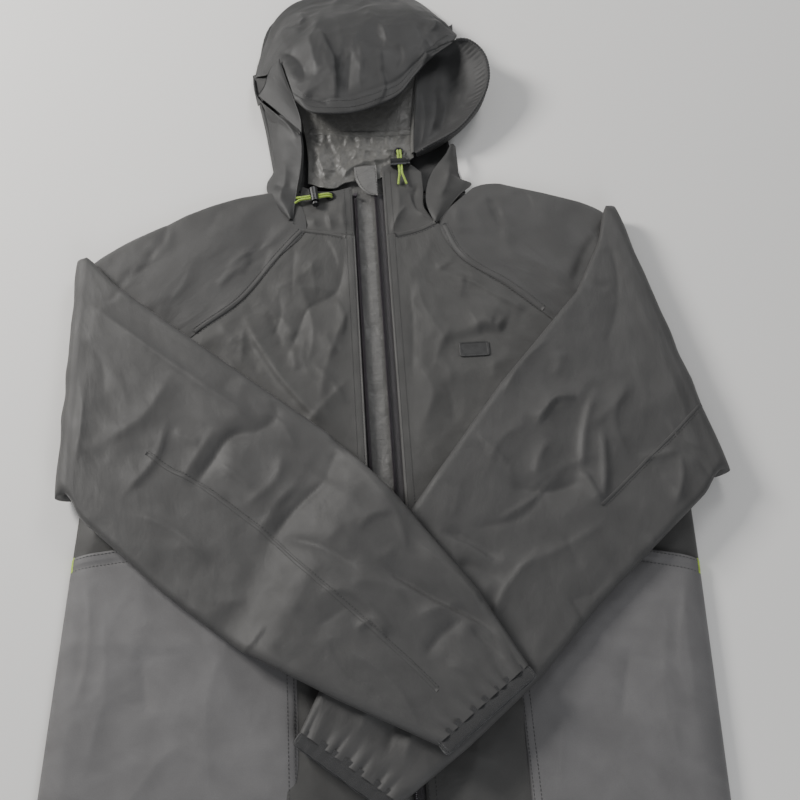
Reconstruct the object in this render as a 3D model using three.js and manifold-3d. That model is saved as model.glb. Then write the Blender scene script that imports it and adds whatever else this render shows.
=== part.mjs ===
// A light, hooded, unlined shell jacket, unzipped and laid on its back with both sleeves folded
// over its front. Millimetres. The floor is z = 0, +Y runs from the hem to the hood, and +X runs to
// the wearer's left, so pieces named right_ lie at -X. The origin is on the back panel's underside.

import * as THREE from 'three';
import { mergeVertices } from 'three/addons/utils/BufferGeometryUtils.js';
import Module from 'manifold-3d';

const wasm = await Module();
wasm.setup();

// ---------------------------------------------------------------- Driving dimensions

// Fabric and clearances
const FABRIC = 2;            // modelled thickness of a shell panel
const TRIM_SHEET = 1.2;      // modelled thickness of a flap or lining
const SEAM = 0.35;           // gap between two sewn neighbours
const LAYER = 0.6;           // air between two layers that lie on each other

// Body
const BODY_HALF_WIDTH = 289; // centre to side seam
const BODY_SIDE = 415;       // hem to armpit
const ARMPIT_Y = 70;
const ARMPIT_INSET = 6;
const NECK_Y = 345;          // where the hood's back meets the back panel
const COLLAR_Y = 283;        // where the collar seams meet the zip
const RAGLAN_STEPS = 6;      // points along a raglan seam
const HEM_DEPTH = 12;        // width of the hem binding
const TORSO_LOFT = 8;        // air between the back and the fronts
const SIDE_SLOPE = 27;       // width over which a front rises from the side seam

// Front zip
const ZIP_TOP = [-14, 338];  // upper end of the left tooth chain
const ZIP_LEAN = THREE.MathUtils.degToRad(3.7);
const TOOTH_WIDTH = 3;
const TOOTH_HEIGHT = 2.2;
const TAPE_WIDTH = 14;
const TAPE_SHEET = 0.6;
const TAPE_MARGIN = 0.5;     // the tape's edge past the middle of its teeth
const ZIP_SPREAD = 21;       // distance between the two open tooth chains
const FRONT_OVERLAP = 2;     // how far a front lies over its tape
const FLAP_REACH = 45;       // storm flap's reach past the left chain, under the right front
const GARAGE_WIDTH = 24;
const GARAGE_LENGTH = 40;
const SLIDER_LENGTH = 12;
const SLIDER_PLATE = 1;
const SLIDER_AIR = 0.8;      // clearance between a slider plate and what it passes
const SLIDER_MARGIN = 1.2;   // slider plate past the outer side of the left teeth
const STOP_LENGTH = 3;
const BOX_LENGTH = 8;
const PIN_LENGTH = 14;
const PULL_LENGTH = 26;
const PULL_WIDTH = 7;
const PULL_SHEET = 1.5;

// Pockets and trim
const POCKET_LOFT = 5;
const POCKET_INNER = 95;     // zip line to a pocket's inner edge
const POCKET_TOP_Y = -58;
const POCKET_DROP = 9;       // fall of the pocket mouth towards the side seam
const TACK = [3, 14, 1];
const BADGE = [30, 16, 0.8];
const BADGE_AT = [87, 146];

// Sleeves
const STUB_OVERHANG = 31;    // side seam to the fold where the sleeve turns back
const SLEEVE_LOFT = 8;
const CUFF_WIDTH = 101;
const CUFF_DEPTH = 10;
const CUFF_WALL = 1.8;
const FOREARM_LIFT = 2.5;    // air between the crossing sleeves
const FOLD_CLEARANCE = 1.5;  // fold axis to the nearest edge of a sleeve panel
const CLIMB_FAR = 115;       // distance from the left sleeve where the right one starts to rise
const CLIMB_NEAR = 62;       // distance where it has reached its full height
const FOREARM_STEPS = 9;     // points along a forearm's edge

// Hood
const HOOD_TOP_Y = 612;
const HOOD_LOFT = 40;        // height of the folded crown over the floor
const RIGHT_WALL_RISE = 23;  // height of the hood's right wall over the back panel
const BINDING_RADIUS = 1.6;

// Hood cord locks
const CORD_RADIUS = 1.25;
const CORD_PITCH = 3;        // distance between the two cords of one lock
const BARREL_RADIUS = 4.5;
const BARREL_WALL = 1.6;
const PLUNGER_GAP = 0.3;
const PLUNGER_TRAVEL = 2;
const HEAD_LENGTH = 2;       // the plunger's button
const SLOT_SPARE = 0.35;     // clearance round a cord in a slot
const SPRING_LENGTH = 3.4;
const SPRING_RADIUS = 2;
const SPRING_WIRE = 0.7;
const LOCK_CLEARANCE = 0.5;  // barrel to the fabric it lies on
const EYELET_AT = 17;        // eyelet centre from the lock centre
const EYELET_RADIUS = 5;
const EYELET_HEIGHT = 1.2;

// ---------------------------------------------------------------- Sizes that follow

const HEM_Y = ARMPIT_Y - BODY_SIDE;
const ARMPIT_X = BODY_HALF_WIDTH - ARMPIT_INSET;
const FOLD_X = BODY_HALF_WIDTH + STUB_OVERHANG;
const SLEEVE_HEIGHT = 2 * FABRIC + SLEEVE_LOFT;

// Undersides of the layers, from the floor up
const ON_BACK = FABRIC + SEAM;
const FRONT_Z = FABRIC + TORSO_LOFT;
const ON_FRONT = FRONT_Z + FABRIC + SEAM;
const POCKET_Z = FRONT_Z + FABRIC + POCKET_LOFT;
const LEFT_ARM_Z = POCKET_Z + FABRIC + LAYER;
const RIGHT_ARM_Z = LEFT_ARM_Z + LAYER;
const CROSSED_ARM_Z = LEFT_ARM_Z + SLEEVE_HEIGHT + FOREARM_LIFT;

// ---------------------------------------------------------------- Materials

const finish = (color, roughness, metalness = 0) => (
  new THREE.MeshStandardMaterial({ color, roughness, metalness })
);
const SHELL = finish(0x4b4b4a, 0.75);
const SLEEVE = finish(0x454546, 0.75);
const POCKET = finish(0x5e5e5f, 0.8);
const RIPSTOP = finish(0x6e6e6c, 0.7);
const HOOD = finish(0x3a3a3a, 0.75);
const ELASTIC = finish(0x232325, 0.9);
const TAPE = finish(0x3c3a40, 0.85);
const PLASTIC = finish(0x161617, 0.5);
const ENAMEL = finish(0x1e1e20, 0.4, 0.6);
const STEEL = finish(0xb8b8b8, 0.3, 1);
const NEON = finish(0xc6dc3c, 0.6);

// ---------------------------------------------------------------- Building blocks

const jacket = new THREE.Group();

function add(name, geometry, material, parent = jacket) {
  const mesh = new THREE.Mesh(geometry, material);
  mesh.name = name;
  parent.add(mesh);
  return mesh;
}

const mix = (a, b, t) => a + (b - a) * t;
const shifted = (points, dx, dy) => points.map(([x, y]) => [x + dx, y + dy]);

// n points spread evenly along a smooth line through a few hand-placed ones
function smooth(points, n) {
  const line = new THREE.CatmullRomCurve3(
    points.map(([x, y]) => new THREE.Vector3(x, y, 0)), false, 'centripetal');
  return line.getSpacedPoints(n - 1).map(({ x, y }) => [x, y]);
}

// n points spread evenly along a line with corners
function straight(points, n) {
  const path = new THREE.CurvePath();
  points.slice(1).forEach((end, i) => path.add(
    new THREE.LineCurve3(new THREE.Vector3(...points[i], 0), new THREE.Vector3(...end, 0))));
  return path.getSpacedPoints(n - 1).map(({ x, y }) => [x, y]);
}

// Rows of underside points between two rails; height(column, row, x, y) gives each point's z.
// Columns are shares of the row's length, or a function of that length.
function span(rail, farRail, columns, height) {
  return rail.map(([x0, y0], row) => {
    const [x1, y1] = farRail[row];
    const shares = Array.isArray(columns) ? columns : columns(Math.hypot(x1 - x0, y1 - y0));
    return shares.map((t, column) => {
      const [x, y] = [mix(x0, x1, t), mix(y0, y1, t)];
      return [x, y, height(column, row, x, y)];
    });
  });
}

// A closed body over a grid of underside points, each cell split along its shorter diagonal
function sheet(rows, thickness) {
  const across = rows[0].length;
  const count = rows.length * across;
  const flat = rows.flat();
  const positions = [...flat, ...flat.map(([x, y, z]) => [x, y, z + thickness])].flat();
  const index = [];
  const apart = (a, b) => Math.hypot(flat[a][0] - flat[b][0], flat[a][1] - flat[b][1]);
  const quad = (a, b, c, d) => index.push(a, b, c, a, c, d);
  const cell = (a, b, c, d) => {
    const turned = apart(b, d) < apart(a, c);
    const [p, q, r, s] = turned ? [b, c, d, a] : [a, b, c, d];
    quad(p, q, r, s);
    quad(p + count, s + count, r + count, q + count);
  };
  for (let i = 0; i < rows.length - 1; i += 1) {
    for (let j = 0; j < across - 1; j += 1) {
      const a = i * across + j;
      cell(a, a + across, a + across + 1, a + 1);
    }
  }
  const wall = (a, b) => quad(a, b, b + count, a + count);
  for (let j = 0; j < across - 1; j += 1) {
    wall(j, j + 1);
    wall(count - across + j + 1, count - across + j);
  }
  for (let i = 0; i < rows.length - 1; i += 1) {
    wall((i + 1) * across, i * across);
    wall((i + 1) * across - 1, (i + 2) * across - 1);
  }
  return outward(positions, index);
}

// Geometry from points and triangles, turned inside out where its volume is negative
function outward(positions, index) {
  const at = (i) => new THREE.Vector3().fromArray(positions, 3 * i);
  let volume = 0;
  for (let k = 0; k < index.length; k += 3) {
    volume += at(index[k]).dot(at(index[k + 1]).cross(at(index[k + 2])));
  }
  const faces = volume < 0 ? index.slice().reverse() : index;
  const geometry = new THREE.BufferGeometry();
  geometry.setAttribute('position', new THREE.Float32BufferAttribute(positions, 3));
  geometry.setIndex(faces);
  return geometry;
}

function outline(points) {
  return new THREE.Shape(points.map(([x, y]) => new THREE.Vector2(x, y)));
}

// A flat plate on an outline, from z to z + thickness
function plate(shape, z, thickness, curveSegments = 6) {
  const geometry = new THREE.ExtrudeGeometry(
    shape, { depth: thickness, bevelEnabled: false, curveSegments });
  return geometry.translate(0, 0, z);
}

// A box between two opposite corners
function block([x0, y0, z0], [x1, y1, z1]) {
  const geometry = new THREE.BoxGeometry(x1 - x0, y1 - y0, z1 - z0);
  return geometry.translate((x0 + x1) / 2, (y0 + y1) / 2, (z0 + z1) / 2);
}

function toSolid(geometry) {
  const bare = geometry.clone();
  bare.deleteAttribute('normal');
  bare.deleteAttribute('uv');
  const merged = mergeVertices(bare.index ? bare.toNonIndexed() : bare, 1e-4);
  return new wasm.Manifold(new wasm.Mesh({
    numProp: 3,
    vertProperties: new Float32Array(merged.attributes.position.array),
    triVerts: new Uint32Array(merged.index.array),
  }));
}

function toGeometry(solid) {
  const { vertProperties, triVerts } = solid.getMesh();
  const geometry = new THREE.BufferGeometry();
  geometry.setAttribute('position', new THREE.BufferAttribute(vertProperties, 3));
  geometry.setIndex(new THREE.BufferAttribute(triVerts, 1));
  return geometry;
}

const joined = (...pieces) => toGeometry(pieces.map(toSolid).reduce((a, b) => a.add(b)));
const cut = (piece, ...tools) => (
  toGeometry(tools.map(toSolid).reduce((rest, tool) => rest.subtract(tool), toSolid(piece)))
);

// A round rod whose axis runs along x, from x0 to x1
function rod(radius, x0, x1, sides = 16) {
  const geometry = new THREE.CylinderGeometry(radius, radius, x1 - x0, sides);
  return geometry.rotateZ(Math.PI / 2).translate((x0 + x1) / 2, 0, 0);
}

// A solid tube with capped ends along a smooth line
function tube(points, radius, sides, steps) {
  const ring = new THREE.Shape();
  ring.absarc(0, 0, radius, 0, 2 * Math.PI);
  const section = new THREE.Shape(ring.getPoints(sides / 2).slice(0, -1));
  const extrudePath = new THREE.CatmullRomCurve3(
    points.map((p) => new THREE.Vector3(...p)), false, 'centripetal');
  return new THREE.ExtrudeGeometry(section, { steps, extrudePath, bevelEnabled: false });
}

// ---------------------------------------------------------------- Seam lines

const ZIP_FOOT_Y = HEM_Y - HEM_DEPTH;
const ZIP_LENGTH = (ZIP_TOP[1] - ZIP_FOOT_Y) / Math.cos(ZIP_LEAN);
const ZIP_FOOT = [ZIP_TOP[0] + Math.tan(ZIP_LEAN) * (ZIP_TOP[1] - ZIP_FOOT_Y), ZIP_FOOT_Y];
const RIGHT_TAPE_U = TAPE_MARGIN - ZIP_SPREAD;
const LEFT_FRONT_U = TAPE_WIDTH - FRONT_OVERLAP;
const RIGHT_FRONT_U = RIGHT_TAPE_U - TAPE_WIDTH / 3;

// The point at height y on the line that runs beside the zip, u to the wearer's left of it
function besideZip(u, y) {
  const along = (ZIP_TOP[1] + u * Math.sin(ZIP_LEAN) - y) / Math.cos(ZIP_LEAN);
  return [ZIP_TOP[0] + u * Math.cos(ZIP_LEAN) + along * Math.sin(ZIP_LEAN), y];
}

// Each side: its sign, its armhole seam from the collar to the armpit, its neck corner, its
// shoulder edge from the neck to the fold, and the far edges of the sleeve folded over the front.
// The sleeve's points are measured from the top of the fold.
const RIGHT = {
  name: 'right',
  sign: -1,
  frontU: RIGHT_FRONT_U,
  raglan: [[-89, 290], [-115, 256], [-150, 203], [-193, 165], [-ARMPIT_X, ARMPIT_Y]],
  neck: [-104, NECK_Y - 1],
  shoulder: [[-129, NECK_Y - 3], [-194, 319], [-256, 284]],
  foldTop: [-FOLD_X, 244],
  fold: [13, -259],
  upperEdge: [[130, -96], [266, -197], [332, -267], [401, -353], [441, -418]],
  lowerEdge: [[38, -278], [122, -349], [200, -406], [280, -446], [364, -483]],
};
const LEFT = {
  name: 'left',
  sign: 1,
  frontU: LEFT_FRONT_U,
  raglan: [[58, 300], [77, 258], [125, 221], [176, 175], [ARMPIT_X, ARMPIT_Y]],
  neck: [92, NECK_Y - 1],
  shoulder: [[97, 358], [146, 345], [195, 330]],
  foldTop: [FOLD_X - 79, 313],
  fold: [82, -300],
  upperEdge: [[-51, -109], [-131, -212], [-191, -301], [-240, -375], [-311, -539]],
  lowerEdge: [[38, -340], [-52, -429], [-109, -495], [-170, -550], [-228, -596]],
};

// A point on a side's fold line, a share t down it and the clearance inboard of it
function onFold({ foldTop, fold, sign }, t) {
  return [foldTop[0] + fold[0] * t - sign * FOLD_CLEARANCE, foldTop[1] + fold[1] * t];
}
const fromFold = ({ foldTop }, points) => shifted(points, ...foldTop);

// ---------------------------------------------------------------- Body

function addBack() {
  const [leftNeck, rightNeck] = [[LEFT.neck[0], NECK_Y], [RIGHT.neck[0], NECK_Y]];
  add('back_panel', plate(outline([
    [-BODY_HALF_WIDTH, HEM_Y], [BODY_HALF_WIDTH, HEM_Y],
    ...smooth(LEFT.raglan, RAGLAN_STEPS).reverse(), leftNeck,
    rightNeck, ...smooth(RIGHT.raglan, RAGLAN_STEPS),
  ]), 0, FABRIC), SHELL);
}

function addFront({ name, sign, raglan, frontU }) {
  const sideSeam = straight(
    [[sign * BODY_HALF_WIDTH, HEM_Y], [sign * ARMPIT_X, ARMPIT_Y]], 3);
  const outer = [...sideSeam, ...smooth(raglan, RAGLAN_STEPS).reverse().slice(1)];
  const inner = outer.map((point, row) => {
    const share = row / (outer.length - 1);
    return besideZip(frontU, mix(HEM_Y, COLLAR_Y, share));
  });
  const columns = (width) => [0, SIDE_SLOPE / width, 0.55, 1];
  const height = (column, row) => (
    column === 0 && row < sideSeam.length ? ON_BACK : FRONT_Z
  );
  add(`${name}_front_panel`, sheet(span(outer, inner, columns, height), FABRIC), SHELL);
}

function addNeckPanel({ name, raglan, frontU, neck }, collar, zipEndY) {
  const [x, y] = raglan[0];
  add(`${name}_neck_panel`, plate(outline([
    besideZip(frontU, COLLAR_Y + SEAM), [x, y + SEAM], neck, ...collar,
    besideZip(frontU, zipEndY),
  ]), FRONT_Z, FABRIC), SHELL);
}

function addPocket({ name, sign }) {
  const outerX = sign * (BODY_HALF_WIDTH - 4);
  const mouthY = POCKET_TOP_Y - POCKET_DROP;
  const outer = [HEM_Y + 2, mix(HEM_Y, mouthY, 0.5), mouthY].map((y) => [outerX, y]);
  const inner = [HEM_Y + 2, mix(HEM_Y, POCKET_TOP_Y, 0.5), POCKET_TOP_Y].map(
    (y) => besideZip(sign * POCKET_INNER, y));
  const columns = (width) => [0, SIDE_SLOPE / width, 0.3, 0.8, 1];
  const overSlope = mix(ON_BACK, FRONT_Z, 4 / SIDE_SLOPE) + FABRIC + LAYER;
  const heights = [overSlope, ON_FRONT + 1, POCKET_Z, POCKET_Z, ON_FRONT];
  const height = (column, row) => (
    row === 0 && column > 1 ? ON_FRONT : heights[column]
  );
  add(`${name}_pocket_panel`, sheet(span(outer, inner, columns, height), FABRIC), POCKET);

  const [width, length, thickness] = TACK;
  const tack = add(`${name}_pocket_tack`, block(
    [-width / 2, -length / 2, 0], [width / 2, length / 2, thickness]), NEON);
  const slope = (ON_FRONT + 1 - overSlope) / SIDE_SLOPE;
  tack.position.set(outerX - sign * width, mouthY - length / 2 - 2,
    overSlope + FABRIC + slope * 1.5 * width + LAYER);
}

function addHem() {
  add('hem_binding_back', block(
    [-BODY_HALF_WIDTH, HEM_Y - HEM_DEPTH, 0], [BODY_HALF_WIDTH, HEM_Y - SEAM, FABRIC]), ELASTIC);
  [RIGHT, LEFT].forEach(({ name, sign, frontU }) => {
    const ys = [HEM_Y - HEM_DEPTH, HEM_Y - SEAM];
    const outer = ys.map((y) => [sign * BODY_HALF_WIDTH, y]);
    const inner = ys.map((y) => besideZip(frontU, y));
    const columns = (width) => [0, SIDE_SLOPE / width, 0.5, 1];
    const height = (column) => (column === 0 ? ON_BACK : FRONT_Z);
    add(`${name}_front_hem`, sheet(span(outer, inner, columns, height), FABRIC), ELASTIC);
  });
}

function addBadge() {
  const [length, width, thickness] = BADGE;
  const shape = new THREE.Shape();
  const straightHalf = (length - width) / 2;
  shape.absarc(straightHalf, 0, width / 2, -Math.PI / 2, Math.PI / 2);
  shape.absarc(-straightHalf, 0, width / 2, Math.PI / 2, 1.5 * Math.PI);
  add('chest_badge', plate(shape, ON_FRONT, thickness), TAPE).position.set(...BADGE_AT, 0);
}

// ---------------------------------------------------------------- Sleeves

// Distance from a point to a closed outline, 0 inside it
function distanceTo(corners, x, y) {
  let inside = false;
  let nearest = Infinity;
  corners.forEach(([x1, y1], i) => {
    const [x0, y0] = corners[(i + corners.length - 1) % corners.length];
    if ((y0 > y) !== (y1 > y) && x < mix(x0, x1, (y - y0) / (y1 - y0))) inside = !inside;
    const along = ((x - x0) * (x1 - x0) + (y - y0) * (y1 - y0)) / ((x1 - x0) ** 2 + (y1 - y0) ** 2);
    const t = Math.min(1, Math.max(0, along));
    nearest = Math.min(nearest, Math.hypot(x - mix(x0, x1, t), y - mix(y0, y1, t)));
  });
  return inside ? 0 : nearest;
}

const forearmRails = (side) => ({
  upper: [onFold(side, 0), ...fromFold(side, side.upperEdge)],
  lower: [onFold(side, 1), ...fromFold(side, side.lowerEdge)],
});

// The right forearm rises over the left one, starting well before it reaches it
const leftOutline = (() => {
  const { upper, lower } = forearmRails(LEFT);
  return [...upper, ...lower.reverse()];
})();
function rightForearmZ(x, y) {
  const distance = distanceTo(leftOutline, x, y);
  const climb = THREE.MathUtils.smoothstep(distance, CLIMB_NEAR, CLIMB_FAR);
  return mix(CROSSED_ARM_Z, RIGHT_ARM_Z, climb);
}
const leftForearmZ = () => LEFT_ARM_Z;

function addUpperSleeve(side) {
  const { name, raglan, neck, shoulder, sign } = side;
  const seamline = [neck, ...smooth(raglan, RAGLAN_STEPS)];
  const nearRail = shifted(seamline, sign * SEAM, SEAM);
  const farRail = [...shoulder, ...[0, 0.33, 0.67, 1].map((t) => onFold(side, t))];
  add(`${name}_upper_sleeve_under`,
    plate(outline([...nearRail, ...farRail.reverse()]), 0, FABRIC), SLEEVE);

  farRail.reverse();
  const closing = seamline.length - 1;
  const atFold = RIGHT_ARM_Z - LAYER - FABRIC;
  const height = (column, row) => {
    if (row === closing) return ON_BACK;
    if (column < 2) return FRONT_Z;
    const onShoulder = row < shoulder.length;
    if (column === 2) return onShoulder ? FRONT_Z : mix(FRONT_Z, atFold, 0.7);
    return onShoulder ? ON_BACK : atFold;
  };
  add(`${name}_upper_sleeve_top`,
    sheet(span(nearRail, farRail, [0, 0.6, 0.88, 1], height), FABRIC), SLEEVE);
}

function addForearm(side, floor) {
  const { upper, lower } = forearmRails(side);
  const [near, far] = [upper, lower].map((points) => straight(points, FOREARM_STEPS));
  const columns = [0, 0.1, 0.5, 0.9, 1];
  const edge = (column) => column === 0 || column === columns.length - 1;
  const underside = (column, row, x, y) => floor(x, y);
  const overside = (column, row, x, y) => (
    floor(x, y) + FABRIC + (edge(column) ? SEAM : SLEEVE_LOFT)
  );
  add(`${side.name}_forearm_under`, sheet(span(near, far, columns, underside), FABRIC), SLEEVE);
  add(`${side.name}_forearm_top`, sheet(span(near, far, columns, overside), FABRIC), SLEEVE);
  addCuff(side, near.at(-1), far.at(-1), floor);
}

function stadium(halfWidth, halfHeight, Kind = THREE.Shape) {
  const shape = new Kind();
  const flat = halfWidth - halfHeight;
  shape.absarc(flat, 0, halfHeight, -Math.PI / 2, Math.PI / 2);
  shape.absarc(-flat, 0, halfHeight, Math.PI / 2, 1.5 * Math.PI);
  return shape;
}

function addCuff({ name, sign }, [x0, y0], [x1, y1], floor) {
  const ring = stadium(CUFF_WIDTH / 2, SLEEVE_HEIGHT / 2);
  ring.holes.push(stadium(CUFF_WIDTH / 2 - CUFF_WALL, SLEEVE_HEIGHT / 2 - CUFF_WALL, THREE.Path));
  const geometry = new THREE.ExtrudeGeometry(
    ring, { depth: CUFF_DEPTH, bevelEnabled: false, curveSegments: 6 });
  geometry.rotateX(Math.PI / 2).translate(0, -SEAM, SLEEVE_HEIGHT / 2);
  const cuff = add(`${name}_cuff_binding`, geometry, ELASTIC);
  cuff.position.set((x0 + x1) / 2, (y0 + y1) / 2, floor((x0 + x1) / 2, (y0 + y1) / 2));
  cuff.rotation.z = Math.atan2(sign * (y1 - y0), sign * (x1 - x0));
}

// ---------------------------------------------------------------- Hood

const BRIM = [[-97, 453], [-80, 433], [-41, 423], [13, 441], [55, 492], [75, 534]];
const CROWN_TOP = [[-160, 540], [-150, 592], [-105, HOOD_TOP_Y], [-30, HOOD_TOP_Y],
  [40, HOOD_TOP_Y - 4], [66, 575]];
const RIGHT_WALL_OUTER = [[-128, NECK_Y + 7], [-147, 425], [-162, 490], [-163, 533]];
const RIGHT_WALL_INNER = [[-108, NECK_Y + 7], [-106, 390], [-103, 420], [-101, 447]];
const LEFT_WALL_INNER = [[46, 388], [42, 420], [44, 460], [50, 500], [58, 528]];
const LEFT_WALL_OUTER = [[74, 388], [94, 410], [108, 445], [112, 485], [98, 524]];
const LEFT_WALL_RISE = [24, 27, 30, 32, 28];

function addHood() {
  const skirt = NECK_Y + SEAM;
  add('hood_back', plate(outline([
    [RIGHT.neck[0] - 18, skirt], [LEFT.neck[0] - 8, skirt], [66, 420], [64, 500], [64, 570],
    [38, HOOD_TOP_Y], [-108, HOOD_TOP_Y], [-152, 594], [-163, 530], [-162, 490], [-147, 425],
  ]), 0, FABRIC), HOOD);

  const crownHeights = [ON_BACK, 0.65 * HOOD_LOFT, HOOD_LOFT, HOOD_LOFT];
  add('hood_crown', sheet(
    span(CROWN_TOP, BRIM, [0, 0.15, 0.4, 1], (column) => crownHeights[column]), FABRIC), HOOD);

  add('right_hood_side', sheet(span(RIGHT_WALL_OUTER, RIGHT_WALL_INNER, [0, 0.5, 1],
    (column) => ON_BACK + [0, 0.6, 1][column] * RIGHT_WALL_RISE), FABRIC), HOOD);
  add('left_hood_side', sheet(span(LEFT_WALL_INNER, LEFT_WALL_OUTER, [0, 0.5, 1],
    (column, row) => ON_BACK + [0, 0.35, 1][column] * LEFT_WALL_RISE[row]), FABRIC), HOOD);

  add('hood_lining', plate(outline([
    [-92, NECK_Y + 5], [36, NECK_Y + 5], [36, 476], [-92, 476],
  ]), ON_BACK, TRIM_SHEET), RIPSTOP);
}

// The elastic edge of the face opening: up the right wall, along the brim, down the left wall
function addHoodBinding() {
  const off = BINDING_RADIUS + 1.3;
  const wallTop = ON_BACK + RIGHT_WALL_RISE + FABRIC / 2;
  const brimZ = HOOD_LOFT + FABRIC / 2;
  const right = RIGHT_WALL_INNER.slice(0, -1).map(([x, y]) => [x + off, y, wallTop]);
  const brim = BRIM.slice(1, -1).map(([x, y]) => [x + off / 2, y - off, brimZ]);
  const left = LEFT_WALL_OUTER.map(([x, y], i) => (
    [x + off, y, ON_BACK + LEFT_WALL_RISE[i] + FABRIC / 2])).reverse();
  const turn = [BRIM[0][0] + off, BRIM[0][1] - 7 * off, wallTop + off];
  const corner = [BRIM.at(-1)[0] + 2 * off, BRIM.at(-1)[1] - off, brimZ - off];
  add('hood_binding', tube([...right, turn, ...brim, corner, ...left], BINDING_RADIUS, 8, 44), ELASTIC);
}

// ---------------------------------------------------------------- Front zip

// In the zip's own frame x runs across it, y up along it, and z = 0 is the fronts' underside
const TAPE_Z = -SEAM - TAPE_SHEET;
const PLATE_LOW_Z = TAPE_Z - SLIDER_AIR - SLIDER_PLATE;
const PLATE_HIGH_Z = TOOTH_HEIGHT + SLIDER_AIR;
const SLIDER_START = BOX_LENGTH + SEAM + SLIDER_LENGTH / 2;
const CHAIN_GAP = TOOTH_WIDTH + 2 * SLIDER_MARGIN; // middle of one closed chain to the other

function addZip() {
  const zip = new THREE.Group();
  zip.position.set(...ZIP_FOOT, FRONT_Z);
  zip.rotation.z = ZIP_LEAN;
  jacket.add(zip);

  const stopY = ZIP_LENGTH - STOP_LENGTH;
  const chains = [
    { name: 'left', middle: 0.5, tape: [-TAPE_MARGIN, TAPE_WIDTH], start: BOX_LENGTH, foot: 2 },
    { name: 'right', middle: -ZIP_SPREAD, start: PIN_LENGTH, foot: 0,
      tape: [RIGHT_TAPE_U - TAPE_WIDTH, RIGHT_TAPE_U] },
  ];
  chains.forEach(({ name, middle, tape, start, foot }) => {
    const [low, high] = [middle - TOOTH_WIDTH / 2, middle + TOOTH_WIDTH / 2];
    add(`${name}_zip_tape`, block(
      [tape[0], foot, TAPE_Z], [tape[1], ZIP_LENGTH, TAPE_Z + TAPE_SHEET]), TAPE, zip);
    add(`${name}_zip_teeth`, block(
      [low, start + SEAM, 0], [high, stopY - SEAM, TOOTH_HEIGHT]), PLASTIC, zip);
    add(`${name}_top_stop`, block(
      [low - 0.2, stopY, 0], [high + 0.2, ZIP_LENGTH, TOOTH_HEIGHT + 0.6]), PLASTIC, zip);
  });

  add('zip_pin', block([-ZIP_SPREAD - 0.7, 0, 0], [-ZIP_SPREAD + 0.7, PIN_LENGTH, 2]),
    PLASTIC, zip);
  const slotZ = [TAPE_Z - SEAM, TAPE_Z + TAPE_SHEET + SEAM];
  add('zip_box', cut(
    block([-2.6, 0, slotZ[0] - 0.7], [6, BOX_LENGTH, TOOTH_HEIGHT + 1]),
    block([-TAPE_MARGIN - SEAM, 1.5, slotZ[0]], [7, BOX_LENGTH + 1, slotZ[1]])), PLASTIC, zip);

  addStormFlap(zip);
  addGarage(zip);
  addSlider(zip);
}

function addStormFlap(zip) {
  const low = ON_BACK + FABRIC - FRONT_Z;
  const sewn = TAPE_Z - SEAM - TRIM_SHEET;
  const across = [[-FLAP_REACH, low], [2, low], [10, sewn], [18, sewn]];
  const rows = [0, ZIP_LENGTH + 25].map((y) => across.map(([x, z]) => [x, y, z]));
  add('storm_flap', sheet(rows, TRIM_SHEET), RIPSTOP, zip);
}

// A D-shaped guard over the upper end of the zip, sewn down along its straight edge
function addGarage(zip) {
  const start = ZIP_LENGTH - 2;
  const edge = TOOTH_WIDTH;
  const shape = new THREE.Shape();
  shape.moveTo(edge, start);
  shape.lineTo(edge, start + GARAGE_LENGTH);
  shape.lineTo(edge - GARAGE_WIDTH, start + GARAGE_LENGTH - 3);
  shape.quadraticCurveTo(edge - GARAGE_WIDTH, start + 6, edge, start);
  add('zip_garage', plate(shape, TOOTH_HEIGHT + 1, TRIM_SHEET), RIPSTOP, zip);
}

function addSlider(zip) {
  const middle = 0.5 - CHAIN_GAP / 2;
  const half = CHAIN_GAP / 2 + TOOTH_WIDTH / 2 + SLIDER_MARGIN;
  const end = SLIDER_LENGTH / 2;
  const wedge = new THREE.Shape();
  wedge.moveTo(-half * 0.75, -end);
  wedge.lineTo(half * 0.75, -end);
  wedge.lineTo(half, end * 0.5);
  wedge.quadraticCurveTo(half * 0.8, end, 0, end);
  wedge.quadraticCurveTo(-half * 0.8, end, -half, end * 0.5);
  const top = PLATE_HIGH_Z + SLIDER_PLATE;
  const flangeInner = CHAIN_GAP / 2 + TOOTH_WIDTH / 2 + SEAM;
  const flange = (sign) => block(
    [sign > 0 ? flangeInner : -half, -end, TAPE_Z + TAPE_SHEET + SEAM],
    [sign > 0 ? half : -flangeInner, end * 0.5, PLATE_HIGH_Z + 0.5]);
  const barSpace = PULL_SHEET + 2 * 0.45;
  const arch = cut(
    block([-1, -3.5, top - 0.2], [1, 3.5, top + barSpace + 1]),
    block([-2, -2.3, top], [2, 2.3, top + barSpace]));
  const carriage = new THREE.Group();
  carriage.position.set(middle, SLIDER_START, 0);
  zip.add(carriage);
  add('zip_slider', joined(
    plate(wedge, PLATE_LOW_Z, SLIDER_PLATE),
    plate(wedge, PLATE_HIGH_Z, SLIDER_PLATE),
    block([-0.7, end * 0.3, PLATE_LOW_Z + 0.5], [0.7, end * 0.75, PLATE_HIGH_Z + 0.5]),
    flange(1), flange(-1), arch), ENAMEL, carriage);

  const barRadius = PULL_SHEET / 2;
  const tab = cut(
    block([-PULL_WIDTH / 2, -PULL_LENGTH, -barRadius], [PULL_WIDTH / 2, barRadius, barRadius]),
    block([-1.5, -4.7, -2], [1.5, -barRadius, 2]));
  add('zip_pull', tab, ENAMEL, carriage).position.z = top + barSpace / 2;
}

// ---------------------------------------------------------------- Hood cord locks

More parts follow.
